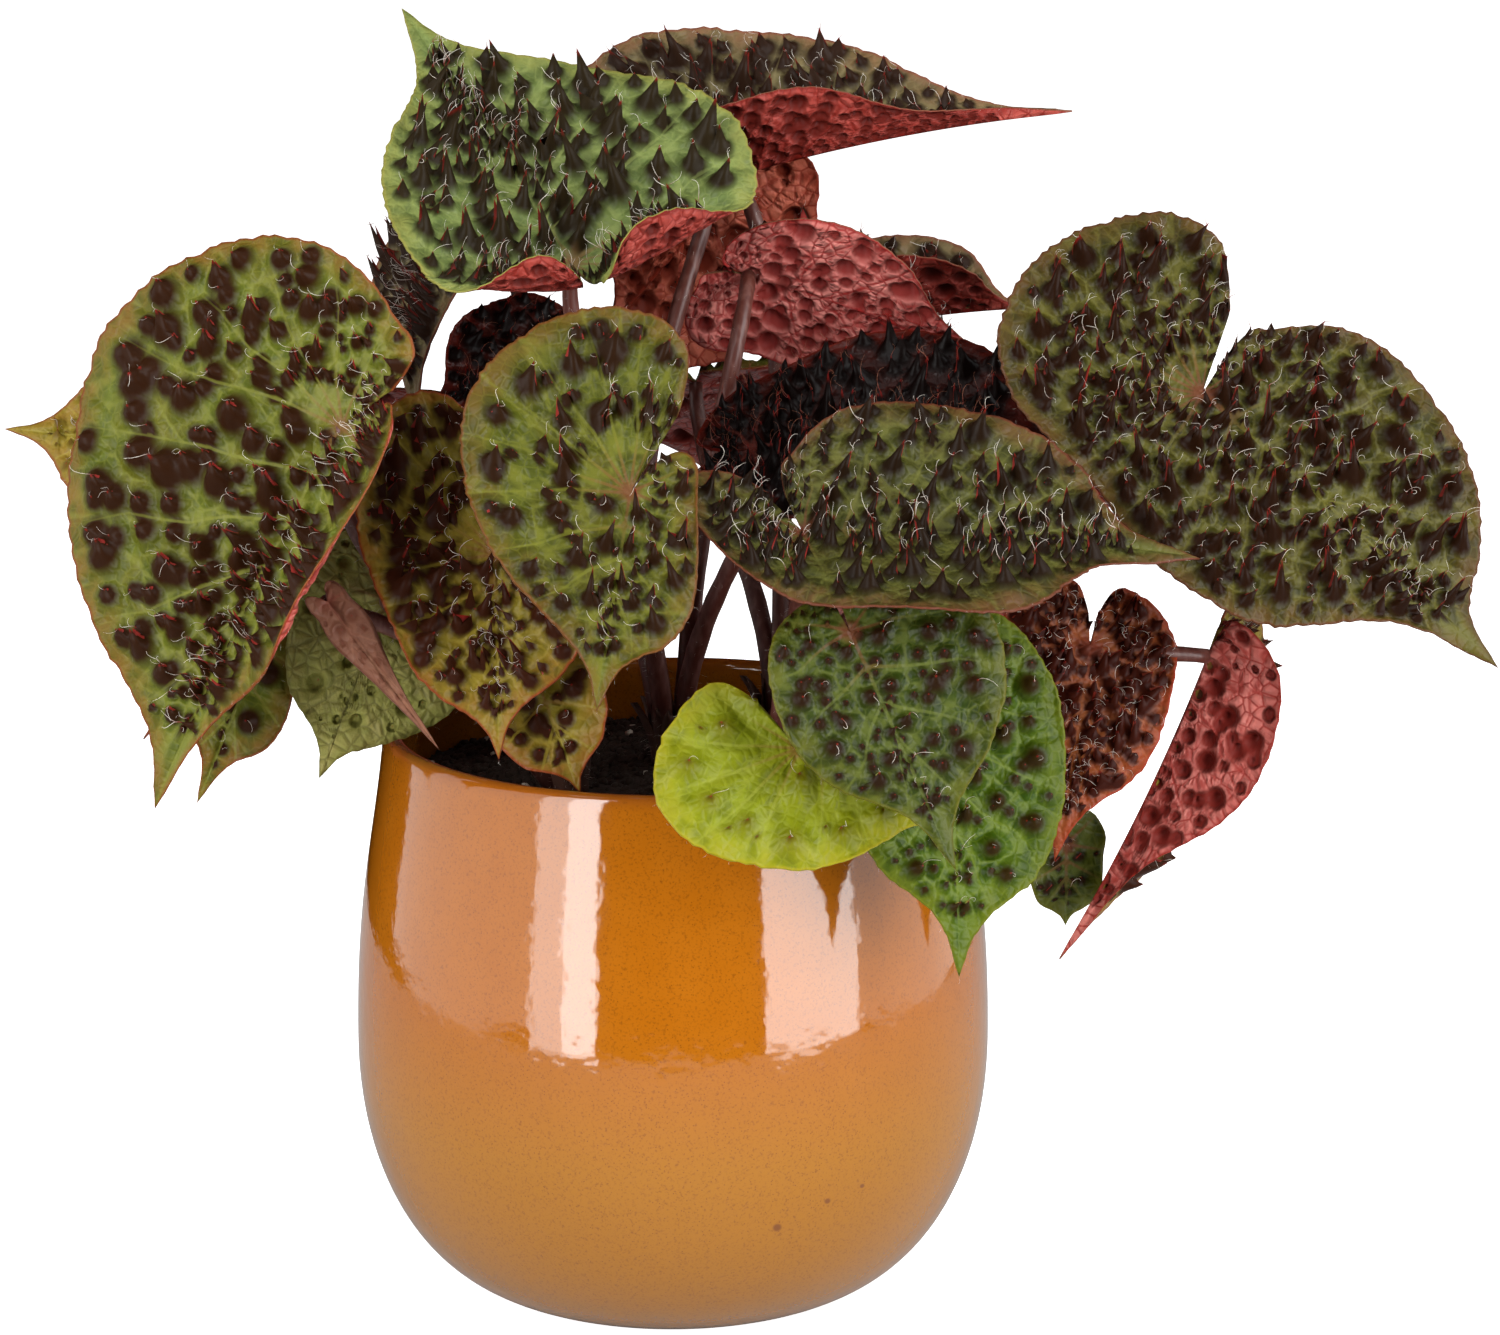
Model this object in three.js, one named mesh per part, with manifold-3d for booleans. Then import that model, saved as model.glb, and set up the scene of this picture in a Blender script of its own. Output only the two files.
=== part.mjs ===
// Potted begonia ferox: an ochre glazed pot full of potting soil, five hairy shoots with red petioles,
// and a crown of lopsided heart-shaped blades whose upper faces stand up in dark pointed cones.
// Millimetres, +Z up. The origin is the centre of the pot's foot, and the shown front faces -Y.
import * as THREE from "three";
import { mergeVertices } from "three/addons/utils/BufferGeometryUtils.js";
import Module from "manifold-3d";

const wasm = await Module();
wasm.setup();

// Driving dimensions of the pot and its soil
const POT_FOOT_RADIUS = 33;
const POT_BELLY_RADIUS = 75;
const POT_BELLY_HEIGHT = 61;
const POT_RIM_RADIUS = 68;
const POT_HEIGHT = 136.5;
const POT_WALL = 4.6;
const POT_FLOOR = 7;
const POT_SIDES = 36;
const SOIL_EDGE_HEIGHT = 122;
const SOIL_CROWN_HEIGHT = 127;
const FIT_GAP = 0.3;

// Driving dimensions of the blades and petioles
const BLADE_THICKNESS = 0.8;
const MARGIN_START = 0.93;
const TIP_MARGIN_START = 0.55;
const HUB_LINE = 0.6;
const VEIN_TURN_DEG = 80;
const CONE_CELL_SHARE = 0.7;
const CONE_ROOM_SHARE = 0.5;
const CONE_RING_TAPER = 0.25;
const PIT_SHARE = 0.9;
const NET_JITTER = 0.3;
const TOOTH_SHARE = 0.02;
const PETIOLE_SIDES = 5;
const PETIOLE_STEPS = 5;
const PETIOLE_FOOT_RADIUS = 2.5;
const PETIOLE_END_RADIUS = 1.9;
const RHIZOME_RADIUS = 6;
const RHIZOME_DEPTH = 30;
const RHIZOME_ABOVE_SOIL = 12;
const SOIL_HOLE_LENGTH = 60;

// Colours of the finished surfaces
const GLAZE = 0xb9711f;
const PEAT = 0x2a1d15;
const STEM_RED = 0x6e3238;
const LEAF_COLOURS = {
  olive: 0x6d7a3f,
  fresh: 0x7f9a52,
  dark: 0x33502f,
  lime: 0x8db82c,
  green: 0x3f7a35,
  rust: 0x7a4a2c,
  umber: 0x33221c,
  dry: 0x8d6a58,
};

// How finely a blade is divided: side veins that leave each half of the midrib, and rings of cones
const DENSE = { pinnate: 6, rings: 5 };
const LARGE = { pinnate: 5, rings: 4 };
const MEDIUM = { pinnate: 4, rings: 3 };
const SMALL = { pinnate: 3, rings: 2 };
const TINY = { pinnate: 3, rings: 1 };

// Every blade: where its petiole meets it (hub), its tip, the way its upper face looks, and its shape.
// left and right, as seen from above with the tip ahead, hold the angle from the tip round to the sinus
// and then four radii, as shares of the midrib, at even steps towards it. Pairs are left then right too:
// fold lifts a half and curl rolls it further, in degrees. bend arches the midrib, lobes droops its back.
const BLADES = [
  {
    name: "blade_left_large", tone: "olive", size: LARGE, shoot: "front_left", seed: 1,
    hub: [-72, -58, 219], tip: [-116, -55, 131], face: [-0.45, -0.87, 0.2],
    left: [145, 0.56, 0.38, 0.26, 0.17], right: [204, 0.77, 0.68, 0.48, 0.28],
    fold: [8, 4], curl: [85, -12], bend: 14, lobes: 6, cone: 5.5, wave: 1.2, bow: [-23, 0, -15],
  },
  {
    name: "blade_far_left", tone: "olive", size: SMALL, shoot: "back_left", seed: 2,
    hub: [-112, -12, 204], tip: [-154, -5, 208], face: [-0.1, -0.8, 0.6],
    left: [170, 0.66, 0.5, 0.45, 0.45], right: [176, 0.66, 0.5, 0.4, 0.4],
    fold: [8, 8], curl: [0, 0], bend: 10, lobes: 10, cone: 3, wave: 1,
  },
  {
    name: "blade_top_left", tone: "fresh", size: LARGE, shoot: "centre", seed: 3,
    hub: [-22, -25, 250], tip: [-63, 30, 301], face: [0.1, -0.65, 0.75],
    left: [165, 0.62, 0.5, 0.46, 0.42], right: [180, 0.68, 0.64, 0.48, 0.4],
    fold: [14, 8], curl: [10, 0], bend: 0, lobes: -105, cone: 6, wave: 1.2, lobeTurn: 0.3, bow: [0, -12, 0],
  },
  {
    name: "blade_top_right", tone: "dark", size: LARGE, shoot: "centre", seed: 4,
    hub: [10, 20, 262], tip: [93, 16, 279], face: [0, -0.1, 1],
    left: [186, 0.58, 0.48, 0.6, 0.68], right: [160, 0.45, 0.27, 0.26, 0.25],
    fold: [38, 62], curl: [10, 10], bend: 12, lobes: 5, cone: 6, wave: 1, bow: [-20, -12, 0],
  },
  {
    name: "blade_back_left_spiny", tone: "dark", size: MEDIUM, shoot: "back_left", seed: 5,
    hub: [-50, 25, 255], tip: [-59, -4, 208], face: [-0.85, -0.5, 0.1],
    left: [174, 0.7, 0.6, 0.42, 0.32], right: [174, 0.65, 0.5, 0.45, 0.4],
    fold: [8, 8], curl: [0, 0], bend: 30, lobes: 10, cone: 6.5, wave: 1,
  },
  {
    name: "blade_centre_light", tone: "fresh", size: MEDIUM, shoot: "front_left", seed: 6,
    hub: [-8, -72, 207], tip: [-15, -97, 164], face: [0, -0.75, 0.65],
    left: [150, 0.72, 0.4, 0.3, 0.32], right: [202, 0.66, 0.7, 0.86, 0.84],
    fold: [6, 6], curl: [0, 0], bend: 0, lobes: -4, cone: 5, wave: 1.2,
  },
  {
    name: "blade_left_centre", tone: "olive", size: MEDIUM, shoot: "front_left", seed: 7,
    hub: [-39, -44, 187], tip: [-38, -62, 144], face: [-0.1, -0.85, 0.5],
    left: [172, 0.69, 0.55, 0.5, 0.6], right: [176, 0.74, 0.6, 0.72, 0.9],
    fold: [10, 10], curl: [-10, 10], bend: 0, lobes: 0, cone: 5.5, wave: 1.2,
  },
  {
    name: "blade_centre_right", tone: "dark", size: DENSE, shoot: "front_right", seed: 8,
    hub: [30, -67, 197], tip: [118, -62, 190], face: [0, -0.55, 0.83],
    left: [112, 0.74, 0.56, 0.4, 0.24], right: [236, 0.64, 0.37, 0.27, 0.32],
    fold: [12, 20], curl: [0, 0], bend: 14, lobes: -75, cone: 5.5, wave: 1.2,
  },
  {
    name: "blade_right_large", tone: "dark", size: DENSE, shoot: "front_right", seed: 9,
    hub: [121, -25, 220], tip: [188, -40, 160], face: [0.25, -0.85, 0.45],
    left: [99, 0.8, 0.65, 0.48, 0.27], right: [249, 0.6, 0.38, 0.53, 0.5],
    fold: [0, 0], curl: [0, 0], bend: 10, lobes: 0, cone: 6.5, wave: 1.2,
  },
  {
    name: "blade_pink_centre", tone: "green", size: MEDIUM, shoot: "centre", seed: 11,
    hub: [18, 8, 242], tip: [77, 4, 220], face: [0.1, 0.93, 0.35],
    left: [172, 0.55, 0.35, 0.36, 0.2], right: [172, 0.62, 0.36, 0.22, 0.14],
    fold: [0, -10], curl: [0, 0], bend: 20, lobes: 0, cone: 4, wave: 1,
  },
  {
    name: "blade_rose_back", tone: "green", size: SMALL, shoot: "back_right", seed: 12,
    hub: [15, 38, 258], tip: [-17, 32, 223], face: [0.1, 0.95, 0.2],
    left: [172, 0.7, 0.45, 0.4, 0.35], right: [172, 0.95, 0.7, 0.45, 0.4],
    fold: [5, 5], curl: [0, 0], bend: 10, lobes: 0, cone: 4, wave: 1, bow: [6, 12, 0],
  },
  {
    name: "blade_small_back", tone: "green", size: SMALL, shoot: "back_right", seed: 13,
    hub: [40, 46, 222], tip: [84, 44, 228], face: [0, -0.15, 1],
    left: [172, 0.8, 0.55, 0.45, 0.35], right: [172, 0.8, 0.55, 0.5, 0.35],
    fold: [50, 60], curl: [0, 0], bend: 10, lobes: 0, cone: 5, wave: 1,
  },
  {
    name: "blade_young_dark", tone: "umber", size: MEDIUM, shoot: "centre", seed: 14,
    hub: [19, -24, 207], tip: [88, -26, 210], face: [0, -0.45, 0.9],
    left: [172, 0.88, 0.4, 0.28, 0.22], right: [172, 0.7, 0.42, 0.3, 0.22],
    fold: [10, 0], curl: [0, 0], bend: 20, lobes: 0, cone: 6, wave: 1,
  },
  {
    name: "blade_young_hairy", tone: "umber", size: SMALL, shoot: "centre", seed: 15,
    hub: [-25, 3, 224], tip: [-57, -29, 215], face: [0, -0.75, 0.65],
    left: [172, 0.65, 0.42, 0.38, 0.3], right: [172, 0.66, 0.44, 0.4, 0.3],
    fold: [10, 10], curl: [0, 0], bend: 20, lobes: 0, cone: 3, wave: 1,
  },
  {
    name: "blade_lime", tone: "lime", size: SMALL, shoot: "front_right", seed: 16,
    hub: [29, -84, 152], tip: [56, -89, 136], face: [0.1, -0.85, 0.5],
    left: [150, 0.8, 0.65, 0.5, 0.4], right: [198, 0.86, 0.88, 1.07, 0.85],
    fold: [0, 0], curl: [0, 0], bend: 0, lobes: 0, cone: 2, wave: 0.8,
  },
  {
    name: "blade_mid_green", tone: "green", size: MEDIUM, shoot: "front_right", seed: 17,
    hub: [40, -90, 180], tip: [63, -104, 130], face: [0.1, -0.95, 0.3],
    left: [172, 0.7, 0.58, 0.4, 0.25], right: [176, 0.62, 0.42, 0.3, 0.25],
    fold: [0, 0], curl: [0, 0], bend: 6, lobes: 45, cone: 2.5, wave: 0.8, lobeTurn: 0.15,
  },
  {
    name: "blade_bright_green", tone: "green", size: MEDIUM, shoot: "front_right", seed: 18,
    hub: [62, -64, 157], tip: [65, -78, 98], face: [0.3, -0.9, 0.3],
    left: [172, 0.72, 0.5, 0.42, 0.4], right: [172, 0.66, 0.42, 0.35, 0.3],
    fold: [0, 0], curl: [0, 0], bend: 10, lobes: 0, cone: 3, wave: 0.8,
  },
  {
    name: "blade_orange_brown", tone: "rust", size: MEDIUM, shoot: "front_right", seed: 19,
    hub: [96, -30, 162], tip: [88, -42, 115], face: [0.2, -0.95, 0.2],
    left: [172, 0.66, 0.45, 0.42, 0.35], right: [172, 0.66, 0.5, 0.42, 0.35],
    fold: [0, 0], curl: [0, 0], bend: 20, lobes: 0, cone: 4.5, wave: 1,
  },
  {
    name: "blade_pink_right", tone: "green", size: MEDIUM, shoot: "front_right", seed: 20,
    hub: [124, -22, 158], tip: [90, -34, 89], face: [0.9, 0.1, 0.1],
    left: [172, 0.75, 0.6, 0.42, 0.25], right: [172, 0.5, 0.3, 0.2, 0.15],
    fold: [32, 70], curl: [0, 0], bend: 10, lobes: 0, cone: 5, wave: 1,
  },
  {
    name: "blade_small_low_right", tone: "olive", size: TINY, shoot: "front_right", seed: 21,
    hub: [92, -18, 112], tip: [92, -20, 93], face: [0.2, -0.95, 0.1],
    left: [172, 0.8, 0.5, 0.5, 0.5], right: [172, 0.8, 0.5, 0.5, 0.5],
    fold: [5, 5], curl: [0, 0], bend: 0, lobes: 0, cone: 1.5, wave: 0.5, bow: [0, 0, 45],
  },
  {
    name: "blade_pale_low_left", tone: "green", size: SMALL, shoot: "back_left", seed: 22,
    hub: [-65, -24, 172], tip: [-81, -30, 131], face: [0.1, 0.95, 0.2],
    left: [172, 0.7, 0.5, 0.45, 0.4], right: [172, 0.75, 0.65, 0.5, 0.4],
    fold: [10, 10], curl: [0, 0], bend: 10, lobes: 0, cone: 2, wave: 1.5,
  },
  {
    name: "blade_narrow_low_left", tone: "olive", size: TINY, shoot: "back_left", seed: 23,
    hub: [-95, -18, 159], tip: [-110, -22, 123], face: [0.1, -0.95, 0.2],
    left: [172, 0.6, 0.3, 0.25, 0.25], right: [172, 0.6, 0.3, 0.25, 0.25],
    fold: [15, 15], curl: [0, 0], bend: 10, lobes: 0, cone: 2, wave: 1,
  },
  {
    name: "blade_small_pot", tone: "olive", size: TINY, shoot: "front_left", seed: 24,
    hub: [-30, -44, 158], tip: [-20, -54, 134], face: [0, -0.95, 0.2],
    left: [172, 0.75, 0.55, 0.5, 0.5], right: [172, 0.75, 0.55, 0.5, 0.5],
    fold: [10, 10], curl: [0, 0], bend: 10, lobes: 0, cone: 2, wave: 1,
  },
  {
    name: "strip_dried", tone: "dry", size: TINY, shoot: "front_left", seed: 25,
    hub: [-77, -48, 177], tip: [-52, -50, 143], face: [0, -0.9, 0.4],
    left: [150, 0.3, 0.14, 0.12, 0.12], right: [150, 0.3, 0.14, 0.12, 0.12],
    fold: [20, 20], curl: [0, 0], bend: 10, lobes: 0, cone: 0.5, wave: 1,
  },
  {
    name: "blade_behind_left", tone: "dark", size: SMALL, shoot: "back_left", seed: 31,
    hub: [-52, 52, 196], tip: [-112, 100, 146], face: [-0.3, 0.5, 0.8],
    left: [172, 0.7, 0.55, 0.42, 0.35], right: [172, 0.75, 0.6, 0.5, 0.4],
    fold: [10, 10], curl: [0, 0], bend: 25, lobes: 10, cone: 6, wave: 1,
  },
  {
    name: "blade_behind_middle", tone: "olive", size: SMALL, shoot: "back_right", seed: 32,
    hub: [5, 70, 205], tip: [10, 135, 165], face: [0, 0.5, 0.85],
    left: [172, 0.75, 0.55, 0.5, 0.4], right: [172, 0.7, 0.5, 0.42, 0.35],
    fold: [10, 10], curl: [0, 0], bend: 25, lobes: 10, cone: 6, wave: 1,
  },
  {
    name: "blade_behind_right", tone: "green", size: SMALL, shoot: "back_right", seed: 33,
    hub: [76, 52, 190], tip: [124, 98, 158], face: [0.4, 0.5, 0.8],
    left: [172, 0.7, 0.55, 0.42, 0.35], right: [172, 0.75, 0.6, 0.45, 0.35],
    fold: [10, 10], curl: [0, 0], bend: 25, lobes: 10, cone: 5, wave: 1,
  },
  {
    name: "blade_behind_low_left", tone: "green", size: SMALL, shoot: "back_left", seed: 34,
    hub: [-34, 68, 158], tip: [-62, 128, 105], face: [-0.2, 0.7, 0.7],
    left: [172, 0.7, 0.48, 0.4, 0.25], right: [172, 0.7, 0.42, 0.35, 0.25],
    fold: [8, 8], curl: [0, 0], bend: 25, lobes: 10, cone: 4, wave: 1,
  },
  {
    name: "blade_behind_low_right", tone: "fresh", size: SMALL, shoot: "back_right", seed: 35,
    hub: [44, 68, 157], tip: [74, 124, 102], face: [0.3, 0.7, 0.6],
    left: [172, 0.7, 0.45, 0.32, 0.25], right: [172, 0.7, 0.48, 0.36, 0.25],
    fold: [8, 8], curl: [0, 0], bend: 20, lobes: 10, cone: 4, wave: 1, bow: [0, 0, 12],
  },
  {
    name: "blade_behind_far_left", tone: "olive", size: SMALL, shoot: "back_left", seed: 36,
    hub: [-84, 24, 160], tip: [-130, 50, 120], face: [-0.7, 0.3, 0.6],
    left: [172, 0.7, 0.5, 0.42, 0.35], right: [172, 0.7, 0.5, 0.42, 0.35],
    fold: [8, 8], curl: [0, 0], bend: 20, lobes: 10, cone: 4, wave: 1,
  },
];

// Where each rhizome stands in the soil
const SHOOTS = {
  front_left: [-24, -22],
  front_right: [24, -24],
  centre: [0, 4],
  back_left: [-26, 26],
  back_right: [26, 26],
};

// A repeatable scatter: the same whole numbers always give the same share between 0 and 1.
function scatter(a, b, c) {
  const v = Math.sin(a * 127.1 + b * 311.7 + c * 74.7) * 43758.5453;
  return v - Math.floor(v);
}

const radians = THREE.MathUtils.degToRad;
const smooth = (v, from, to) => THREE.MathUtils.smoothstep(v, from, to);

// Closed meshes and solids
function meshOf(points, faces) {
  const geometry = new THREE.BufferGeometry();
  const numbers = points.flatMap((p) => [p.x, p.y, p.z]);
  geometry.setAttribute("position", new THREE.Float32BufferAttribute(numbers, 3));
  geometry.setIndex(faces.flat());
  return geometry;
}

function solidOf(geometry) {
  const bare = new THREE.BufferGeometry();
  bare.setAttribute("position", geometry.getAttribute("position").clone());
  bare.setIndex(geometry.index ? geometry.index.clone() : null);
  const merged = mergeVertices(bare, 1e-4);
  return new wasm.Manifold(
    new wasm.Mesh({
      numProp: 3,
      vertProperties: merged.attributes.position.array,
      triVerts: new Uint32Array(merged.index.array),
    }),
  );
}

function geometryOf(solid) {
  const made = solid.getMesh();
  const geometry = new THREE.BufferGeometry();
  const positions = new Float32Array(made.numVert * 3);
  for (let i = 0; i < made.numVert; i++) {
    positions.set(made.vertProperties.subarray(i * made.numProp, i * made.numProp + 3), i * 3);
  }
  geometry.setAttribute("position", new THREE.BufferAttribute(positions, 3));
  geometry.setIndex(new THREE.BufferAttribute(new Uint32Array(made.triVerts), 1));
  return geometry;
}

// The pot: a thrown round belly on a flat foot, drawn in a little to a plain rounded rim. A profile set
// back by an inset is the same wall's inside.
function potCurves(inset) {
  const belly = new THREE.Vector2(POT_BELLY_RADIUS - inset, POT_BELLY_HEIGHT);
  const foot = new THREE.Vector2(POT_FOOT_RADIUS - inset * 0.4, inset);
  const rim = new THREE.Vector2(POT_RIM_RADIUS - inset, POT_HEIGHT - 2);
  return [
    new THREE.CubicBezierCurve(
      foot,
      new THREE.Vector2(foot.x + 26, inset),
      new THREE.Vector2(belly.x, POT_BELLY_HEIGHT * 0.44 + inset * 0.5),
      belly,
    ),
    new THREE.CubicBezierCurve(
      belly,
      new THREE.Vector2(belly.x, POT_BELLY_HEIGHT + 37),
      new THREE.Vector2(rim.x + 2.2, POT_HEIGHT - 26),
      rim,
    ),
  ];
}

function potOutside(inset, points) {
  const [low, high] = potCurves(inset);
  return [...low.getPoints(points), ...high.getPoints(points - 1).slice(1)];
}

function potInsideRadius(z) {
  const profile = potOutside(POT_WALL, 40);
  const above = profile.findIndex((p) => p.y >= z);
  const [a, b] = [profile[above - 1], profile[above]];
  return THREE.MathUtils.lerp(a.x, b.x, (z - a.y) / (b.y - a.y));
}

function turned(profile, sides) {
  return new THREE.LatheGeometry(profile, sides).rotateX(Math.PI / 2);
}

function potGeometry() {
  const inside = potOutside(POT_WALL, 5).filter((p) => p.y > POT_FLOOR + 1);
  const profile = [
    new THREE.Vector2(0, 0),
    ...potOutside(0, 7),
    new THREE.Vector2(POT_RIM_RADIUS - 1.2, POT_HEIGHT - 0.3),
    new THREE.Vector2(POT_RIM_RADIUS - POT_WALL / 2, POT_HEIGHT),
    new THREE.Vector2(POT_RIM_RADIUS - POT_WALL + 1.2, POT_HEIGHT - 0.3),
    ...inside.reverse(),
    new THREE.Vector2(0, POT_FLOOR),
  ];
  return turned(profile, POT_SIDES);
}

// Blades
// The radius of half a blade's outline, as a share of the midrib, at a share q of the way from tip to sinus
function halfRadius(q, radii) {
  const [shoulder, body, waist, lobe] = radii;
  const at = [0, 0.02, 0.06, 0.15, 0.38, 0.62, 0.85, 0.95, 1];
  const values = [
    1, 0.53 + 0.47 * shoulder, 0.22 + 0.78 * shoulder, shoulder, body, waist, lobe, 0.85 * lobe, 0.5 * lobe,
  ];
  const last = at.length - 1;
  let i = 0;
  while (i < last - 1 && q > at[i + 1]) i++;
  const span = at[i + 1] - at[i];
  const t = (q - at[i]) / span;
  const slope = (k) => {
    const from = Math.max(0, k - 1);
    const to = Math.min(last, k + 1);
    return (values[to] - values[from]) / (at[to] - at[from]);
  };
  const t2 = t * t;
  const t3 = t2 * t;
  return (
    (2 * t3 - 3 * t2 + 1) * values[i] + (t3 - 2 * t2 + t) * span * slope(i) +
    (3 * t2 - 2 * t3) * values[i + 1] + (t3 - t2) * span * slope(i + 1)
  );
}

// The curved sheet of a blade: at() gives the point of the sheet for a point of the flat leaf.
class BladeSheet {
  constructor(leaf) {
    this.leaf = leaf;
    this.hub = new THREE.Vector3(...leaf.hub);
    const chord = new THREE.Vector3(...leaf.tip).sub(this.hub);
    this.ahead = chord.clone().normalize();
    const face = new THREE.Vector3(...leaf.face);
    this.up = face.sub(this.ahead.clone().multiplyScalar(face.dot(this.ahead))).normalize();
    this.left = this.up.clone().cross(this.ahead);
    this.halves = [leaf.left, leaf.right].map(([reach, ...radii]) => ({ reach, radii }));
    this.traceMidrib(chord.length());
    this.arcs = [0, 1].map((half) => this.measureOutline(half));
  }

  // The midrib as a list of points in its own plane, from behind the hub to the tip
  traceMidrib(chordLength) {
    const steps = 40;
    const pitch = (share) => {
      const back = Math.min(1, Math.max(0, -share / (this.leaf.lobeTurn ?? 0.6)));
      return radians(this.leaf.bend * (0.5 - Math.max(0, share)) + this.leaf.lobes * back);
    };
    const walk = (sign) => {
      const places = [[0, 0]];
      for (let i = 0; i < steps; i++) {
        const a = pitch(((i + 0.5) / steps) * sign);
        const [x, z] = places[i];
        places.push([x + (sign * Math.cos(a)) / steps, z + (sign * Math.sin(a)) / steps]);
      }
      return places;
    };
    const front = walk(1);
    const back = walk(-1);
    const [endX, endZ] = front[steps];
    const reach = Math.hypot(endX, endZ);
    this.tilt = Math.atan2(endZ, endX);
    this.length = chordLength / reach;
    this.steps = steps;
    this.pitch = pitch;
    this.walked = { front, back };
  }

  // The midrib's place and pitch at x mm from the hub, turned so that the chord ends at the tip
  midrib(x) {
    const share = x / this.length;
    const list = share >= 0 ? this.walked.front : this.walked.back;
    const f = Math.min(Math.abs(share) * this.steps, this.steps - 1e-6);
    const i = Math.floor(f);
    const px = THREE.MathUtils.lerp(list[i][0], list[i + 1][0], f - i) * this.length;
    const pz = THREE.MathUtils.lerp(list[i][1], list[i + 1][1], f - i) * this.length;
    const c = Math.cos(-this.tilt);
    const s = Math.sin(-this.tilt);
    return { x: px * c - pz * s, z: px * s + pz * c, pitch: this.pitch(share) - this.tilt };
  }

  // The flat leaf's outline where vein k of a half ends. The first veins leave the midrib, the rest the hub.
  veinEnd(half, k, pinnate) {
    const turn = this.turnShare(half);
    const fanned = (k - pinnate) / this.fan(half, pinnate);
    const u = k <= pinnate ? (turn * k) / pinnate : turn + (1 - turn) * fanned;
    const q = this.arcShare(half, u);
    const angle = radians(q * this.halves[half].reach);
    const r = halfRadius(q, this.halves[half].radii) * this.length;
    return [r * Math.cos(angle), r * Math.sin(angle)];
  }

  // How many veins fan out from the hub round the basal lobe, spaced like those along the midrib
  fan(half, pinnate) {
    const turn = this.turnShare(half);
    return Math.min(9, Math.max(1, Math.round((pinnate * (1 - turn)) / turn)));
  }

  // The share of a half's outline that lies ahead of the side veins' last turn
  turnShare(half) {
    const sums = this.arcs[half];
    const q = Math.min(0.9, VEIN_TURN_DEG / this.halves[half].reach);
    return sums[Math.round(q * (sums.length - 1))] / sums[sums.length - 1];
  }

  // Turns a share of the outline's own length into a share of its turning angle
  arcShare(half, u) {
    const sums = this.arcs[half];
    const want = u * sums[sums.length - 1];
    let i = 0;
    while (i < sums.length - 2 && sums[i + 1] < want) i++;
    return (i + (want - sums[i]) / (sums[i + 1] - sums[i])) / (sums.length - 1);
  }

  measureOutline(half) {
    const fine = 120;
    const sums = [0];
    let last = [1, 0];
    for (let i = 1; i <= fine; i++) {
      const angle = radians((i / fine) * this.halves[half].reach);
      const r = halfRadius(i / fine, this.halves[half].radii);
      const here = [r * Math.cos(angle), r * Math.sin(angle)];
      sums.push(sums[i - 1] + Math.hypot(here[0] - last[0], here[1] - last[1]));
      last = here;
    }
    return sums;
  }

  // The sheet's point for a flat point: x ahead of the hub, out to its own side of the midrib
  at(half, x, out) {
    const side = half === 0 ? 1 : -1;
    const rib = this.midrib(x);
    const angle = THREE.MathUtils.radToDeg(Math.atan2(Math.max(out, 0), x));
    const fade = 1 - 0.75 * smooth(angle, 95, 178);
    const fold = radians(this.leaf.fold[half]) * fade;
    const curl = radians(this.leaf.curl[half]) / (this.halves[half].radii[1] * this.length);
    let across = out * Math.cos(fold);
    let rise = out * Math.sin(fold);
    if (out > 0 && Math.abs(curl) > 1e-6) {
      across = (Math.sin(fold + curl * out) - Math.sin(fold)) / curl;
      rise = (Math.cos(fold) - Math.cos(fold + curl * out)) / curl;
    }
    return this.hub.clone()
      .addScaledVector(this.ahead, rib.x - rise * Math.sin(rib.pitch))
      .addScaledVector(this.left, side * across)
      .addScaledVector(this.up, rib.z + rise * Math.cos(rib.pitch));
  }

  // The upper face's direction at a flat point; on the midrib both halves are averaged
  normal(half, x, out) {
    const step = 0.4;
    const one = (h) => {
      const o = Math.max(out, step * 0.5);
      const alongX = this.at(h, x + step, o).sub(this.at(h, x - step, o));
      const alongOut = this.at(h, x, o + step).sub(this.at(h, x, o - step * 0.5));
      const n = alongX.cross(alongOut);
      return n.multiplyScalar(h === 0 ? 1 : -1).normalize();
    };
    if (out > step) return one(half);
    return one(0).add(one(1)).normalize();
  }
}

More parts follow.
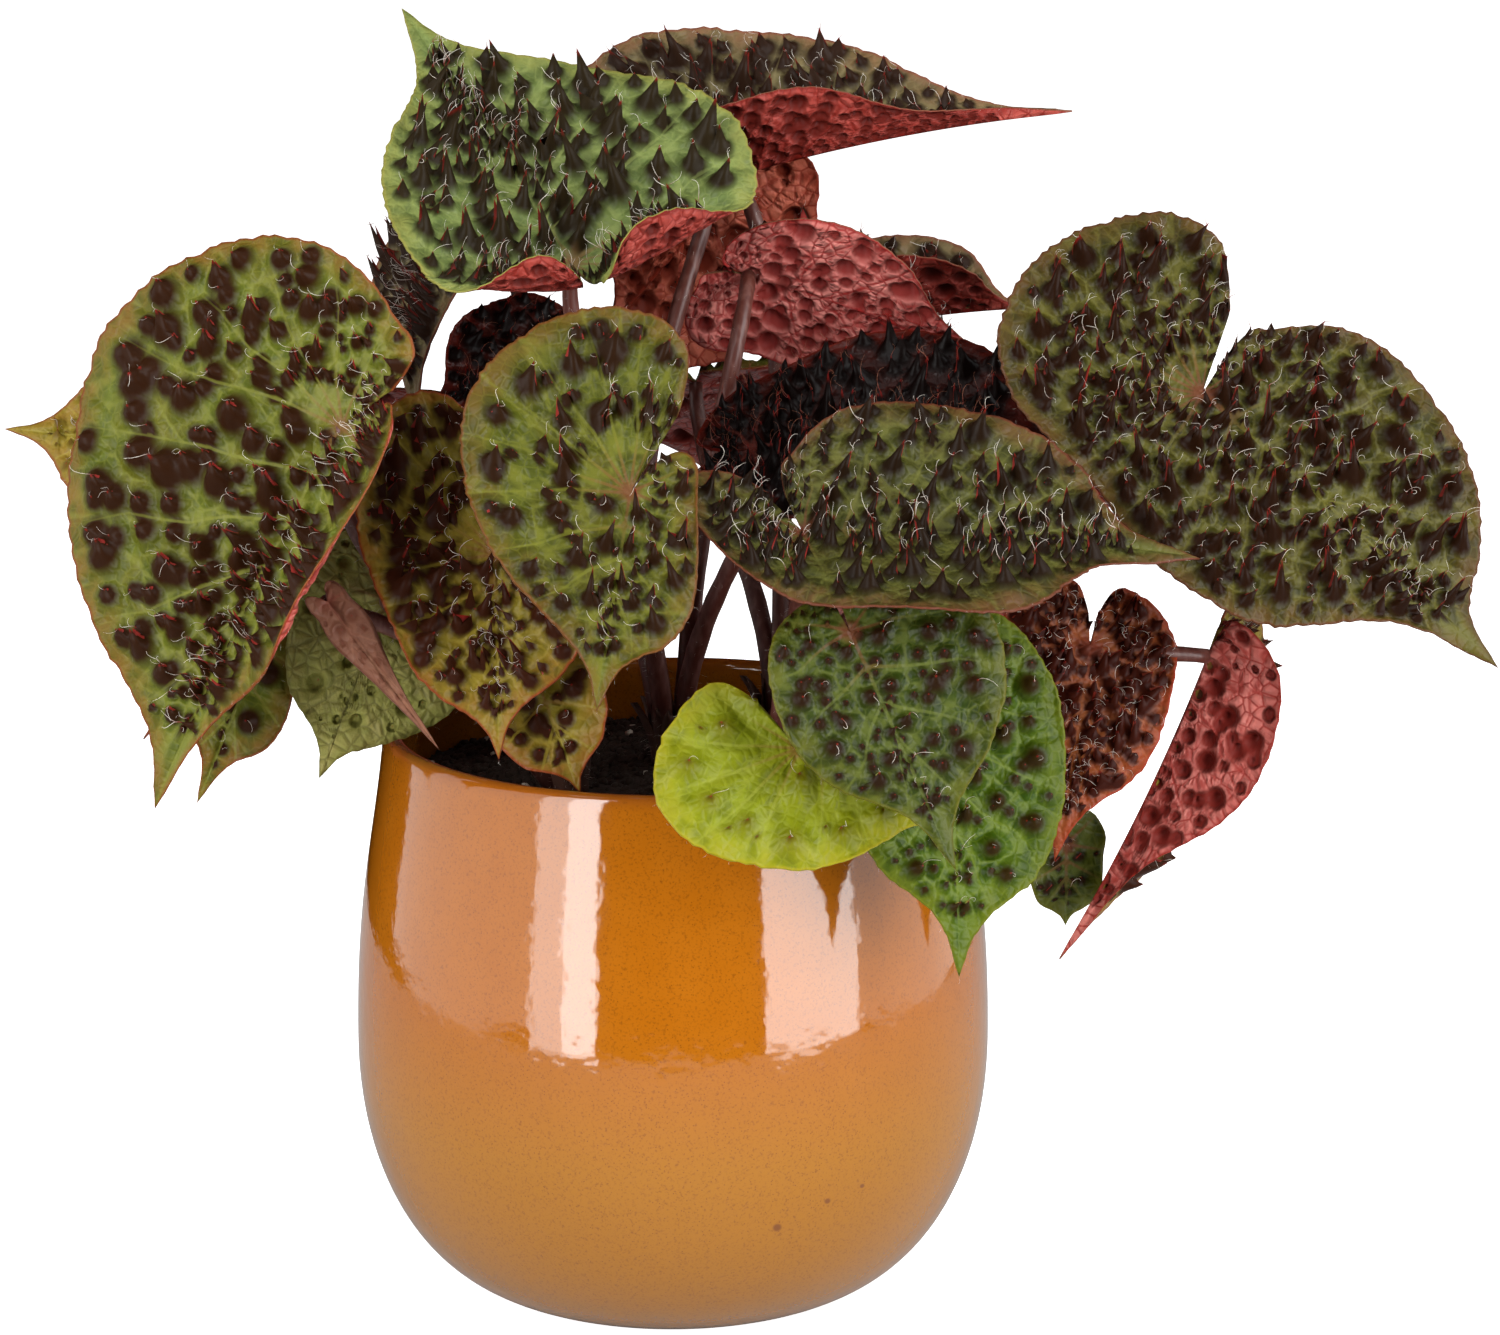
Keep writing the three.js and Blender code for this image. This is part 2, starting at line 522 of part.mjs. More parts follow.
// A blade as a thin closed solid. Both faces share one net of cells between side veins and rings, and
// each cell inside the margin rises to a cone on top and sinks to a matching pit below.
function bladeGeometry(leaf) {
  const sheet = new BladeSheet(leaf);
  const { pinnate, rings } = leaf.size;
  const sectors = [0, 1].map((half) => pinnate + sheet.fan(half, pinnate));
  const top = [];
  const bottom = [];
  const faces = [];
  const place = (half, x, out, lift, pit) => {
    const point = sheet.at(half, x, out);
    const normal = sheet.normal(half, x, out);
    top.push(point.clone().addScaledVector(normal, BLADE_THICKNESS / 2 + lift));
    bottom.push(point.clone().addScaledVector(normal, -BLADE_THICKNESS / 2 + pit));
    return top.length - 1;
  };
  const flat = (half, k, j) => {
    const startX = HUB_LINE * sheet.length * Math.max(0, 1 - k / pinnate);
    const inner = j > 0 && j < rings && k > 0 && k < sectors[half];
    const nudge = (salt) => (inner ? NET_JITTER * (scatter(leaf.seed + salt, k * 7 + half, j) - 0.5) : 0);
    const marginStart = k === 0 ? TIP_MARGIN_START : MARGIN_START;
    const s = j > rings ? 1 : (marginStart * (j + nudge(9))) / rings;
    const [endX, endOut] = sheet.veinEnd(half, k + nudge(0), pinnate);
    return [startX + (endX - startX) * s, endOut * s];
  };
  const waveAt = (half, k) => leaf.wave * Math.sin(k * 2.1 + leaf.seed + half * 2);

  // Net points: the midrib's belong to both halves, and the fan's veins all start at the hub
  const net = [[], []];
  const edge = [[], []];
  for (const half of [0, 1]) {
    for (let k = 0; k <= sectors[half]; k++) {
      net[half].push([]);
      for (let j = 0; j <= rings + 1; j++) {
        const onMidrib = k === 0 || (j === 0 && k <= pinnate);
        if (half === 1 && onMidrib) net[1][k].push(net[0][k][j]);
        else if (j === 0 && k > pinnate) net[half][k].push(net[0][pinnate][0]);
        else {
          const wave = k > 0 && j > rings ? waveAt(half, k) : 0;
          net[half][k].push(place(half, ...flat(half, k, j), wave, wave));
        }
      }
      if (k === 0) continue;
      const [x, out] = sheet.veinEnd(half, k - 0.5, pinnate);
      const tooth = 1 + TOOTH_SHARE * (scatter(leaf.seed + 5, k, half) - 0.3);
      const wave = waveAt(half, k - 0.5);
      edge[half].push(place(half, x * tooth, out * tooth, wave, wave));
    }
  }

  // Cells between neighbouring veins and rings, each with the place of its cone's foot
  const addFace = (half, a, b, c) => {
    if (a !== b && b !== c && c !== a) faces.push(half === 0 ? [a, b, c] : [a, c, b]);
  };
  const cells = [];
  for (const half of [0, 1]) {
    for (let k = 0; k < sectors[half]; k++) {
      for (let j = 0; j < rings; j++) {
        const n = net[half];
        const corners = [n[k][j], n[k][j + 1], n[k + 1][j + 1], n[k + 1][j]];
        const [a, b] = [flat(half, k, j), flat(half, k, j + 1)];
        const [c, d] = [flat(half, k + 1, j + 1), flat(half, k + 1, j)];
        const middle = [0, 1].map((i) => (a[i] + b[i] + c[i] + d[i]) / 4);
        const area = Math.abs((c[0] - a[0]) * (d[1] - b[1]) - (d[0] - b[0]) * (c[1] - a[1])) / 2;
        cells.push({ half, k, j, corners, middle, area, foot: sheet.at(half, ...middle) });
      }
    }
  }

  // The radius of the ball that rests on the sheet at a cone's foot and just reaches another part of it
  const sheetPoints = top.map((p, i) => p.clone().add(bottom[i]).multiplyScalar(0.5));
  sheetPoints.push(...cells.map((cell) => cell.foot));
  const roomAbove = (cell) => {
    const normal = sheet.normal(cell.half, ...cell.middle);
    let room = Infinity;
    for (const point of sheetPoints) {
      const gap = point.clone().sub(cell.foot);
      const above = gap.dot(normal);
      if (above > 0) room = Math.min(room, gap.lengthSq() / (2 * above));
    }
    return room;
  };

  // Each cell rises to its cone's apex, or stays flat where the veins crowd together at the hub
  for (const cell of cells) {
    const { half, k, j, corners, middle, area } = cell;
    if (j === 0 && k >= pinnate) {
      addFace(half, corners[0], corners[1], corners[2]);
      continue;
    }
    const roll = 0.8 + 0.4 * scatter(leaf.seed + 3, k * 3 + half, j);
    const height = Math.min(
      leaf.cone * roll * (1 - CONE_RING_TAPER * (j / rings)),
      CONE_CELL_SHARE * Math.sqrt(area) * roll,
      Math.max(0, CONE_ROOM_SHARE * roomAbove(cell) - BLADE_THICKNESS),
    );
    const apex = place(half, ...middle, height, height * PIT_SHARE);
    corners.forEach((v, i) => addFace(half, apex, v, corners[(i + 1) % 4]));
  }

  // The strip between the outermost ring and the margin
  for (const half of [0, 1]) {
    for (let k = 0; k < sectors[half]; k++) {
      const inner = [net[half][k][rings], net[half][k + 1][rings]];
      const outer = [net[half][k][rings + 1], edge[half][k], net[half][k + 1][rings + 1]];
      addFace(half, inner[0], outer[0], outer[1]);
      addFace(half, inner[0], outer[1], inner[1]);
      addFace(half, inner[1], outer[1], outer[2]);
    }
  }

  // The rim joins the two faces along the margin and down both sides of the sinus
  const rim = [];
  for (let k = sectors[1]; k > 0; k--) rim.push(net[1][k][rings + 1], edge[1][k - 1]);
  for (let k = 0; k < sectors[0]; k++) rim.push(net[0][k][rings + 1], edge[0][k]);
  for (let j = rings + 1; j >= 0; j--) rim.push(net[0][sectors[0]][j]);
  for (let j = 1; j <= rings; j++) rim.push(net[1][sectors[1]][j]);
  const count = top.length;
  const closed = faces.map((face) => [...face]);
  faces.forEach(([a, b, c]) => closed.push([c + count, b + count, a + count]));
  rim.forEach((v, i) => {
    const w = rim[(i + 1) % rim.length];
    closed.push([w, v, v + count], [w, v + count, w + count]);
  });
  return meshOf([...top, ...bottom], closed);
}

// A round-sided tube along a curve, a little thinner at its end than at its start
function tubeGeometry(curve, startRadius, endRadius) {
  const frames = curve.computeFrenetFrames(PETIOLE_STEPS, false);
  const points = [];
  const faces = [];
  for (let i = 0; i <= PETIOLE_STEPS; i++) {
    const t = i / PETIOLE_STEPS;
    const radius = THREE.MathUtils.lerp(startRadius, endRadius, t);
    for (let s = 0; s < PETIOLE_SIDES; s++) {
      const a = (s / PETIOLE_SIDES) * 2 * Math.PI;
      points.push(
        curve.getPointAt(t)
          .addScaledVector(frames.normals[i], radius * Math.cos(a))
          .addScaledVector(frames.binormals[i], radius * Math.sin(a)),
      );
    }
  }
  for (let i = 0; i < PETIOLE_STEPS; i++) {
    for (let s = 0; s < PETIOLE_SIDES; s++) {
      const a = i * PETIOLE_SIDES + s;
      const b = i * PETIOLE_SIDES + ((s + 1) % PETIOLE_SIDES);
      faces.push([a, b, b + PETIOLE_SIDES], [a, b + PETIOLE_SIDES, a + PETIOLE_SIDES]);
    }
  }
  const last = PETIOLE_STEPS * PETIOLE_SIDES;
  for (let s = 1; s < PETIOLE_SIDES - 1; s++) faces.push([0, s + 1, s], [last, last + s, last + s + 1]);
  return meshOf(points, faces);
}

// A petiole: up from its rhizome, then over to the underside of its blade's hub, where it is cut off flush
function petiole(leaf) {
  const sheet = new BladeSheet(leaf);
  const normal = sheet.normal(0, 0, 0);
  const [x, y] = SHOOTS[leaf.shoot];
  const hub = sheet.hub;
  const reach = Math.hypot(hub.x - x, hub.y - y);
  const away = new THREE.Vector3(hub.x - x, hub.y - y, 0).normalize();
  const start = new THREE.Vector3(x, y, SOIL_CROWN_HEIGHT + 3).addScaledVector(away, 2);
  const climb = (hub.z - start.z) * 0.45 + 10;
  const under = Math.min(30, 0.35 * hub.distanceTo(start));
  const bow = new THREE.Vector3(...(leaf.bow ?? [0, 0, 0]));
  const rise = start.clone().addScaledVector(away, reach * 0.15).add(bow);
  rise.z += climb;
  const below = hub.clone().addScaledVector(normal, -under).add(bow);
  const end = hub.clone().addScaledVector(normal, 1);
  const line = new THREE.CubicBezierCurve3(start, rise, below, end);
  const tube = solidOf(tubeGeometry(line, PETIOLE_FOOT_RADIUS, PETIOLE_END_RADIUS));
  const cut = hub.clone().addScaledVector(normal, -BLADE_THICKNESS / 2 - FIT_GAP);
  const down = normal.clone().negate();
  return tube.trimByPlane(down.toArray(), down.dot(cut));
}

// A shoot: a stub of creeping rhizome standing in the soil, with the petioles of its own blades
function shootGeometry(shoot) {
  const [x, y] = SHOOTS[shoot];
  const foot = SOIL_EDGE_HEIGHT - RHIZOME_DEPTH;
  const length = RHIZOME_DEPTH + RHIZOME_ABOVE_SOIL;
  const stub = new THREE.CylinderGeometry(RHIZOME_RADIUS * 0.7, RHIZOME_RADIUS, length, 8);
  stub.rotateX(Math.PI / 2).translate(x, y, foot + length / 2);
  let solid = solidOf(stub);
  for (const leaf of BLADES) {
    if (leaf.shoot === shoot) solid = solid.add(petiole(leaf));
  }
  return geometryOf(solid);
}

// The soil fills the pot and rises a little to the middle, with a plain hole for every rhizome
function soilGeometry() {
  const gap = POT_WALL + FIT_GAP;
  const wall = potOutside(gap, 5).filter((p) => p.y > POT_FLOOR + 1 && p.y < SOIL_EDGE_HEIGHT - 2);
  const profile = [
    new THREE.Vector2(0, POT_FLOOR + FIT_GAP),
    ...wall,
    new THREE.Vector2(potInsideRadius(SOIL_EDGE_HEIGHT) - FIT_GAP, SOIL_EDGE_HEIGHT),
    new THREE.Vector2(POT_RIM_RADIUS * 0.5, SOIL_CROWN_HEIGHT - 1),
    new THREE.Vector2(0, SOIL_CROWN_HEIGHT),
  ];
  let solid = solidOf(turned(profile, POT_SIDES));
  for (const [x, y] of Object.values(SHOOTS)) {
    const radius = RHIZOME_RADIUS + FIT_GAP;
    const hole = new THREE.CylinderGeometry(radius, radius, SOIL_HOLE_LENGTH, 12);
    const floor = SOIL_EDGE_HEIGHT - RHIZOME_DEPTH - FIT_GAP;
    hole.rotateX(Math.PI / 2).translate(x, y, floor + SOIL_HOLE_LENGTH / 2);
    solid = solid.subtract(solidOf(hole));
  }
  return geometryOf(solid);
}

// Assembly
const plant = new THREE.Group();

function add(name, geometry, colour, roughness) {
  const material = new THREE.MeshStandardMaterial({ color: colour, roughness, metalness: 0 });
  const mesh = new THREE.Mesh(geometry, material);
  mesh.name = name;
  plant.add(mesh);
}

add("pot", potGeometry(), GLAZE, 0.15);
add("soil", soilGeometry(), PEAT, 0.95);
for (const shoot of Object.keys(SHOOTS)) add(`shoot_${shoot}`, shootGeometry(shoot), STEM_RED, 0.55);
for (const leaf of BLADES) add(leaf.name, bladeGeometry(leaf), LEAF_COLOURS[leaf.tone], 0.5);

export default plant;
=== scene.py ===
# Potted begonia ferox: an ochre glazed pot full of peat, five hairy red-stalked shoots and a crown of
# lopsided leaves that stand up in dark, hair-tipped cones. Metres, +Z up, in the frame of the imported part.
import math

import bmesh
import bpy
import numpy as np
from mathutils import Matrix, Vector


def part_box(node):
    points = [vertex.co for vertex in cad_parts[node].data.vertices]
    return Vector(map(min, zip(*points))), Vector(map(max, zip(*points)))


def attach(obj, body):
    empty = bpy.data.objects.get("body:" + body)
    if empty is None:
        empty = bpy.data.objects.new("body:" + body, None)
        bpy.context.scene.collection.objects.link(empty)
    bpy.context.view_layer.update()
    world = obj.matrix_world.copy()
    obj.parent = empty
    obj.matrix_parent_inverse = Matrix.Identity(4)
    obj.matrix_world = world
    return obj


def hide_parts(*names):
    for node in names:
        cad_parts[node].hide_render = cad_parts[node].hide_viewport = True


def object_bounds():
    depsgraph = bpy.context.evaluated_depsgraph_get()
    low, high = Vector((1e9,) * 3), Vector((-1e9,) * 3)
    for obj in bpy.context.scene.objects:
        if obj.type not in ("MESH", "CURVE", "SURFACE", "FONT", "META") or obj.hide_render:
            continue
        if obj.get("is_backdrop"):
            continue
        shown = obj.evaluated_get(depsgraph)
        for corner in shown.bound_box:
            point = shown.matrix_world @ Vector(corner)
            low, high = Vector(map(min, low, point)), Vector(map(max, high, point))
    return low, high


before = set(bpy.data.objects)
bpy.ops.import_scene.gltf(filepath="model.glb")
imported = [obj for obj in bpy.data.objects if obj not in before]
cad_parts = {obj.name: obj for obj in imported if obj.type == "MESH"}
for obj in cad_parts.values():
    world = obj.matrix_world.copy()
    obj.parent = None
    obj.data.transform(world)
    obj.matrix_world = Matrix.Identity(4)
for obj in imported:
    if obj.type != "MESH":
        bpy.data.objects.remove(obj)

CAD_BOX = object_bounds()
MM = 0.001

# Camera
# The picture is taken from straight in front, 1.3 m away and a little above the pot, through a long lens
# that keeps the pot's sides nearly parallel.
CAMERA_AIM = Vector((0.0183, 0.0, 0.150))
CAMERA_DISTANCE = 1.3
CAMERA_DOWN_DEG = 13.7
CAMERA_LENS_MM = 132.9
SENSOR_WIDTH_MM = 36.0

camera_data = bpy.data.cameras.new("camera")
camera_data.sensor_width = SENSOR_WIDTH_MM
camera_data.lens = CAMERA_LENS_MM
camera = bpy.data.objects.new("camera", camera_data)
look_down = math.radians(CAMERA_DOWN_DEG)
camera.location = CAMERA_AIM + CAMERA_DISTANCE * Vector((0, -math.cos(look_down), math.sin(look_down)))
camera.rotation_euler = (math.radians(90) - look_down, 0, 0)
bpy.context.scene.collection.objects.link(camera)
bpy.context.scene.camera = camera

# Pot
# A thrown stoneware cover pot, round in the belly and drawn in to a plain rounded rim. It was dipped in
# an ochre glaze that fired glassy, with fine iron specks, and that runs thin and brown over the rim.
POT_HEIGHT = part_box("pot")[1].z
POT_BELLY_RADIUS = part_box("pot")[1].x
POT_BELLY_HEIGHT = 61 * MM
POT_FOOT_RADIUS = 33 * MM
POT_RIM_RADIUS = 68 * MM
POT_WALL = 4.6 * MM
POT_FLOOR = 7 * MM
POT_SIDES = 144
LIP_HEIGHT = 2 * MM
GLAZE_OCHRE = 0x985408
GLAZE_AMBER = 0xA25E12
# A lighter, yellower glaze colour for the lower pot: painted light from the white table below
GLAZE_PAINTED_TABLE_LIGHT = 0x9C660C
GLAZE_SPECK = 0x6E3A0C
GLAZE_RIM = 0x8A4A12
# Where that painted light is full and where it has faded out
PAINTED_TABLE_LIGHT_FULL_HEIGHT = 50 * MM
PAINTED_TABLE_LIGHT_END_HEIGHT = POT_BELLY_HEIGHT + 20 * MM
MOTTLE_SIZE = 9 * MM
GRAIN_SIZE = 0.6 * MM
SPECK_SPACING = 1.1 * MM
RIPPLE_SIZE = 6 * MM
RIPPLE_DEPTH = 0.3 * MM
# Pinholes where gas broke through the glaze: x, z and radius
PINHOLES = [(24.5 * MM, 35 * MM, 1.3 * MM), (36.0 * MM, 40 * MM, 0.9 * MM), (44.0 * MM, 42 * MM, 0.7 * MM)]


def linear(colour):
    """Turns an sRGB hex colour into Blender's linear red, green, blue and alpha."""
    parts = [(colour >> shift & 255) / 255 for shift in (16, 8, 0)]
    return [c / 12.92 if c <= 0.04045 else ((c + 0.055) / 1.055) ** 2.4 for c in parts] + [1.0]


def add_node(tree, kind, inputs=None, **settings):
    """Adds a node, sets its properties, and sets or links each input named or numbered in inputs."""
    made = tree.nodes.new(kind)
    for key, value in settings.items():
        setattr(made, key, value)
    for key, value in (inputs or {}).items():
        if isinstance(value, bpy.types.NodeSocket):
            tree.links.new(value, made.inputs[key])
        else:
            made.inputs[key].default_value = value
    return made


def mixed(tree, share, first, second):
    """A colour between two, given as sockets or linear colours."""
    inputs = {0: share, 6: first, 7: second}
    return add_node(tree, "ShaderNodeMix", inputs, data_type="RGBA").outputs[2]


def ramp(tree, value, start, end, low, high, kind="LINEAR"):
    """A number that runs from low to high while the value goes from start to end."""
    inputs = {0: value, 1: start, 2: end, 3: low, 4: high}
    return add_node(tree, "ShaderNodeMapRange", inputs, interpolation_type=kind).outputs[0]


def maths(tree, operation, *values):
    """The result of one operation on one to three numbers."""
    return add_node(tree, "ShaderNodeMath", dict(enumerate(values)), operation=operation).outputs[0]


def noise(tree, place, size, detail=2):
    """Soft noise whose blobs have about this size."""
    inputs = {"Vector": place, "Scale": 1 / size, "Detail": detail}
    return add_node(tree, "ShaderNodeTexNoise", inputs).outputs[0]


def bumped(tree, height, depth, strength=1.0):
    """A surface direction that follows small bumps of this depth."""
    inputs = {"Height": height, "Distance": depth, "Strength": strength}
    return add_node(tree, "ShaderNodeBump", inputs).outputs[0]


def object_place(tree):
    """Each surface point's place on its own object, in metres."""
    return add_node(tree, "ShaderNodeTexCoord").outputs["Object"]


def new_material(name):
    """A material and its node tree, still empty."""
    material = bpy.data.materials.new(name)
    material.use_nodes = True
    material.node_tree.nodes.clear()
    return material, material.node_tree


def add_surface(tree, inputs):
    """Ends a material's tree with its one surface shader."""
    shader = add_node(tree, "ShaderNodeBsdfPrincipled", inputs)
    add_node(tree, "ShaderNodeOutputMaterial", {"Surface": shader.outputs[0]})


def new_object(name, mesh):
    """Puts a mesh in the scene as an object at the origin, shaded smooth."""
    made = bpy.data.objects.new(name, mesh)
    bpy.context.scene.collection.objects.link(made)
    mesh.polygons.foreach_set("use_smooth", [True] * len(mesh.polygons))
    return made


def bezier(a, b, c, d, steps):
    """Points along a cubic curve, ends included."""
    t = np.linspace(0, 1, steps)[:, None]
    a, b, c, d = (np.array(p, float) for p in (a, b, c, d))
    return a * (1 - t) ** 3 + 3 * b * t * (1 - t) ** 2 + 3 * c * t**2 * (1 - t) + d * t**3


def pot_wall(inset, steps):
    """The pot's wall as (radius, height) pairs from foot to rim, set back by an inset."""
    foot = (POT_FOOT_RADIUS - 0.4 * inset, inset)
    belly = (POT_BELLY_RADIUS - inset, POT_BELLY_HEIGHT)
    rim = (POT_RIM_RADIUS - inset, POT_HEIGHT - LIP_HEIGHT)
    low_handle = (belly[0], 0.44 * POT_BELLY_HEIGHT + 0.5 * inset)
    low = bezier(foot, (foot[0] + 26 * MM, inset), low_handle, belly, steps)
    high_handle = (rim[0] + 2.2 * MM, POT_HEIGHT - 26 * MM)
    high = bezier(belly, (belly[0], POT_BELLY_HEIGHT + 37 * MM), high_handle, rim, steps)
    return np.vstack([low, high[1:]])


def rim_arc(steps):
    """The rounded lip from the outer wall over to the inner one."""
    middle = POT_RIM_RADIUS - POT_WALL / 2
    turns = np.linspace(0.15, 0.85, steps) * math.pi
    base = POT_HEIGHT - LIP_HEIGHT
    return [(middle + POT_WALL / 2 * math.cos(a), base + LIP_HEIGHT * math.sin(a)) for a in turns]


def lathe(name, profile, sides):
    """Spins (radius, height) pairs round Z into a closed mesh; a radius of zero closes to one point."""
    mesh = bmesh.new()
    turns = [2 * math.pi * i / sides for i in range(sides)]
    rings = []
    for radius, z in profile:
        spots = turns if radius > 1e-7 else [0.0]
        rings.append([mesh.verts.new((radius * math.cos(a), radius * math.sin(a), z)) for a in spots])
    for low, high in zip(rings, rings[1:]):
        for i in range(sides):
            j = (i + 1) % sides
            corners = [low[i % len(low)], low[j % len(low)], high[j % len(high)], high[i % len(high)]]
            mesh.faces.new(list(dict.fromkeys(corners)))
    bmesh.ops.recalc_face_normals(mesh, faces=mesh.faces)
    data = bpy.data.meshes.new(name)
    mesh.to_mesh(data)
    mesh.free()
    return new_object(name, data)


def glaze_material():
    """Ochre stoneware glaze, dipped and fired: glassy, so it mirrors its surroundings over a mottled,
    speckled body colour, with a faint ripple from the brushless pour. Towards the foot the body colour
    turns lighter and yellower: painted light from the white table below."""
    material, tree = new_material("ochre_stoneware_glaze")
    place = object_place(tree)
    axes = add_node(tree, "ShaderNodeSeparateXYZ", {0: place}).outputs
    colour = mixed(tree, noise(tree, place, MOTTLE_SIZE, 4), linear(GLAZE_OCHRE), linear(GLAZE_AMBER))
    # Painted light: lighter and yellower towards the foot, as if lit by the white table below
    low = ramp(tree, axes["Z"], PAINTED_TABLE_LIGHT_FULL_HEIGHT, PAINTED_TABLE_LIGHT_END_HEIGHT, 0.8, 0)
    colour = mixed(tree, low, colour, linear(GLAZE_PAINTED_TABLE_LIGHT))
    grains = ramp(tree, noise(tree, place, GRAIN_SIZE), 0.52, 0.74, 0, 0.6)
    cells = add_node(tree, "ShaderNodeTexVoronoi", {"Vector": place, "Scale": 1 / SPECK_SPACING})
    specks = ramp(tree, cells.outputs["Distance"], 0.1, 0.2, 0.75, 0)
    dark = maths(tree, "MAXIMUM", grains, specks)
    in_front = maths(tree, "LESS_THAN", axes["Y"], 0.0)
    for x, z, radius in PINHOLES:
        away = {"X": maths(tree, "SUBTRACT", axes["X"], x), "Z": maths(tree, "SUBTRACT", axes["Z"], z)}
        away = add_node(tree, "ShaderNodeCombineXYZ", away).outputs[0]
        gap = add_node(tree, "ShaderNodeVectorMath", {0: away}, operation="LENGTH").outputs["Value"]
        hole = maths(tree, "MULTIPLY", ramp(tree, gap, 0.5 * radius, radius, 0.9, 0), in_front)
        dark = maths(tree, "MAXIMUM", dark, hole)
    colour = mixed(tree, dark, colour, linear(GLAZE_SPECK))
    lip = ramp(tree, axes["Z"], POT_HEIGHT - 3.5 * MM, POT_HEIGHT - 0.5 * MM, 0, 0.8)
    colour = mixed(tree, lip, colour, linear(GLAZE_RIM))
    ripple = bumped(tree, noise(tree, place, RIPPLE_SIZE), RIPPLE_DEPTH, 0.5)
    coat = {"Coat Weight": 0.5, "Coat Roughness": 0.02}
    add_surface(tree, {"Base Color": colour, "Roughness": 0.07, "IOR": 1.52, "Normal": ripple, **coat})
    return material


pot_inside = [p for p in pot_wall(POT_WALL, 40) if p[1] > POT_FLOOR + 1 * MM]
pot_profile = [(0, 0), *pot_wall(0, 48), *rim_arc(9), *reversed(pot_inside), (0, POT_FLOOR)]
pot = lathe("glazed_pot", pot_profile, POT_SIDES)
pot.data.materials.append(glaze_material())
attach(pot, "root")
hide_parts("pot")

# Soil
# Dark peat potting mix that fills the pot to a finger below the rim, a little higher in the middle. It is
# loose: crumbs of peat and a few white grains of perlite lie on it.
SOIL_EDGE_HEIGHT = 122 * MM
SOIL_CROWN_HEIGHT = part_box("soil")[1].z
SOIL_SIDES = 120
SOIL_GAP = 0.3 * MM
LUMP_HEIGHT = 0.45 * MM
CRUMBS_PER_M2 = 200000.0
CRUMB_SIZES = (0.5 * MM, 1.5 * MM)
PERLITE_PER_M2 = 3500.0
PERLITE_SIZES = (0.6 * MM, 1.5 * MM)
PEAT_BROWN = 0x1C120B
PEAT_LIGHT = 0x3A281A
PERLITE_WHITE = 0xC9C2B2


def peat_material():
    """Damp peat: nearly black brown, broken up at the scale of its crumbs, with no gloss."""
    material, tree = new_material("damp_peat")
    place = object_place(tree)
    clods = noise(tree, place, 2.5 * MM, 8)
    colour = mixed(tree, clods, linear(PEAT_BROWN), linear(PEAT_LIGHT))
    add_surface(tree, {"Base Color": colour, "Roughness": 0.9, "Normal": bumped(tree, clods, 1.2 * MM, 0.9)})
    return material


def perlite_material():
    """Expanded volcanic glass, crushed: off-white, matte and porous."""
    material, tree = new_material("perlite")
    place = object_place(tree)
    pores = bumped(tree, noise(tree, place, 0.7 * MM, 3), 0.4 * MM)
    add_surface(tree, {"Base Color": linear(PERLITE_WHITE), "Roughness": 0.85, "Normal": pores})
    return material


def plain_mesh(name, carrier, tree, values):
    """Runs a Geometry Nodes tree on a carrier object and returns its result as a plain mesh object."""
    modifier = carrier.modifiers.new("made", "NODES")
    modifier.node_group = tree
    for item in tree.interface.items_tree:
        if item.item_type == "SOCKET" and item.in_out == "INPUT" and item.name in values:
            modifier[item.identifier] = values[item.name]
    carrier.update_tag()
    seen = carrier.evaluated_get(bpy.context.evaluated_depsgraph_get())
    data = bpy.data.meshes.new_from_object(seen)
    data.name = name
    carrier.modifiers.remove(modifier)
    return new_object(name, data)


def geometry_tree(name, numbers):
    """A Geometry Nodes tree with a geometry input and output and an input for each named number."""
    tree = bpy.data.node_groups.new(name, "GeometryNodeTree")
    tree.interface.new_socket("Geometry", in_out="INPUT", socket_type="NodeSocketGeometry")
    for label, value in numbers.items():
        kind = "NodeSocketInt" if isinstance(value, int) else "NodeSocketFloat"
        tree.interface.new_socket(label, in_out="INPUT", socket_type=kind).default_value = value
    tree.interface.new_socket("Geometry", in_out="OUTPUT", socket_type="NodeSocketGeometry")
    return tree, add_node(tree, "NodeGroupInput").outputs


def scattered(tree, given, where=True):
    """Points spread over the faces of the given mesh, with the faces' directions."""
    inputs = {"Mesh": given["Geometry"], "Selection": where}
    inputs.update({label: given[label] for label in ("Density", "Seed")})
    return add_node(tree, "GeometryNodeDistributePointsOnFaces", inputs).outputs


def random_vector(tree, given, low, high):
    """A vector for each point, drawn between two."""
    inputs = {0: low, 1: high, "Seed": given["Seed"]}
    return add_node(tree, "FunctionNodeRandomValue", inputs, data_type="FLOAT_VECTOR").outputs[0]


def random_number(tree, given, low, high):
    """A number for each point, drawn between two."""
    inputs = {2: low, 3: high, "Seed": given["Seed"]}
    return add_node(tree, "FunctionNodeRandomValue", inputs, data_type="FLOAT").outputs[1]


def plant_instances(tree, material, inputs):
    """Ends a tree: stands instances on its points, makes them real and gives them their material."""
    placed = add_node(tree, "GeometryNodeInstanceOnPoints", inputs)
    real = add_node(tree, "GeometryNodeRealizeInstances", {0: placed.outputs[0]})
    finished = add_node(tree, "GeometryNodeSetMaterial", {"Geometry": real.outputs[0], "Material": material})
    add_node(tree, "NodeGroupOutput", {0: finished.outputs[0]})


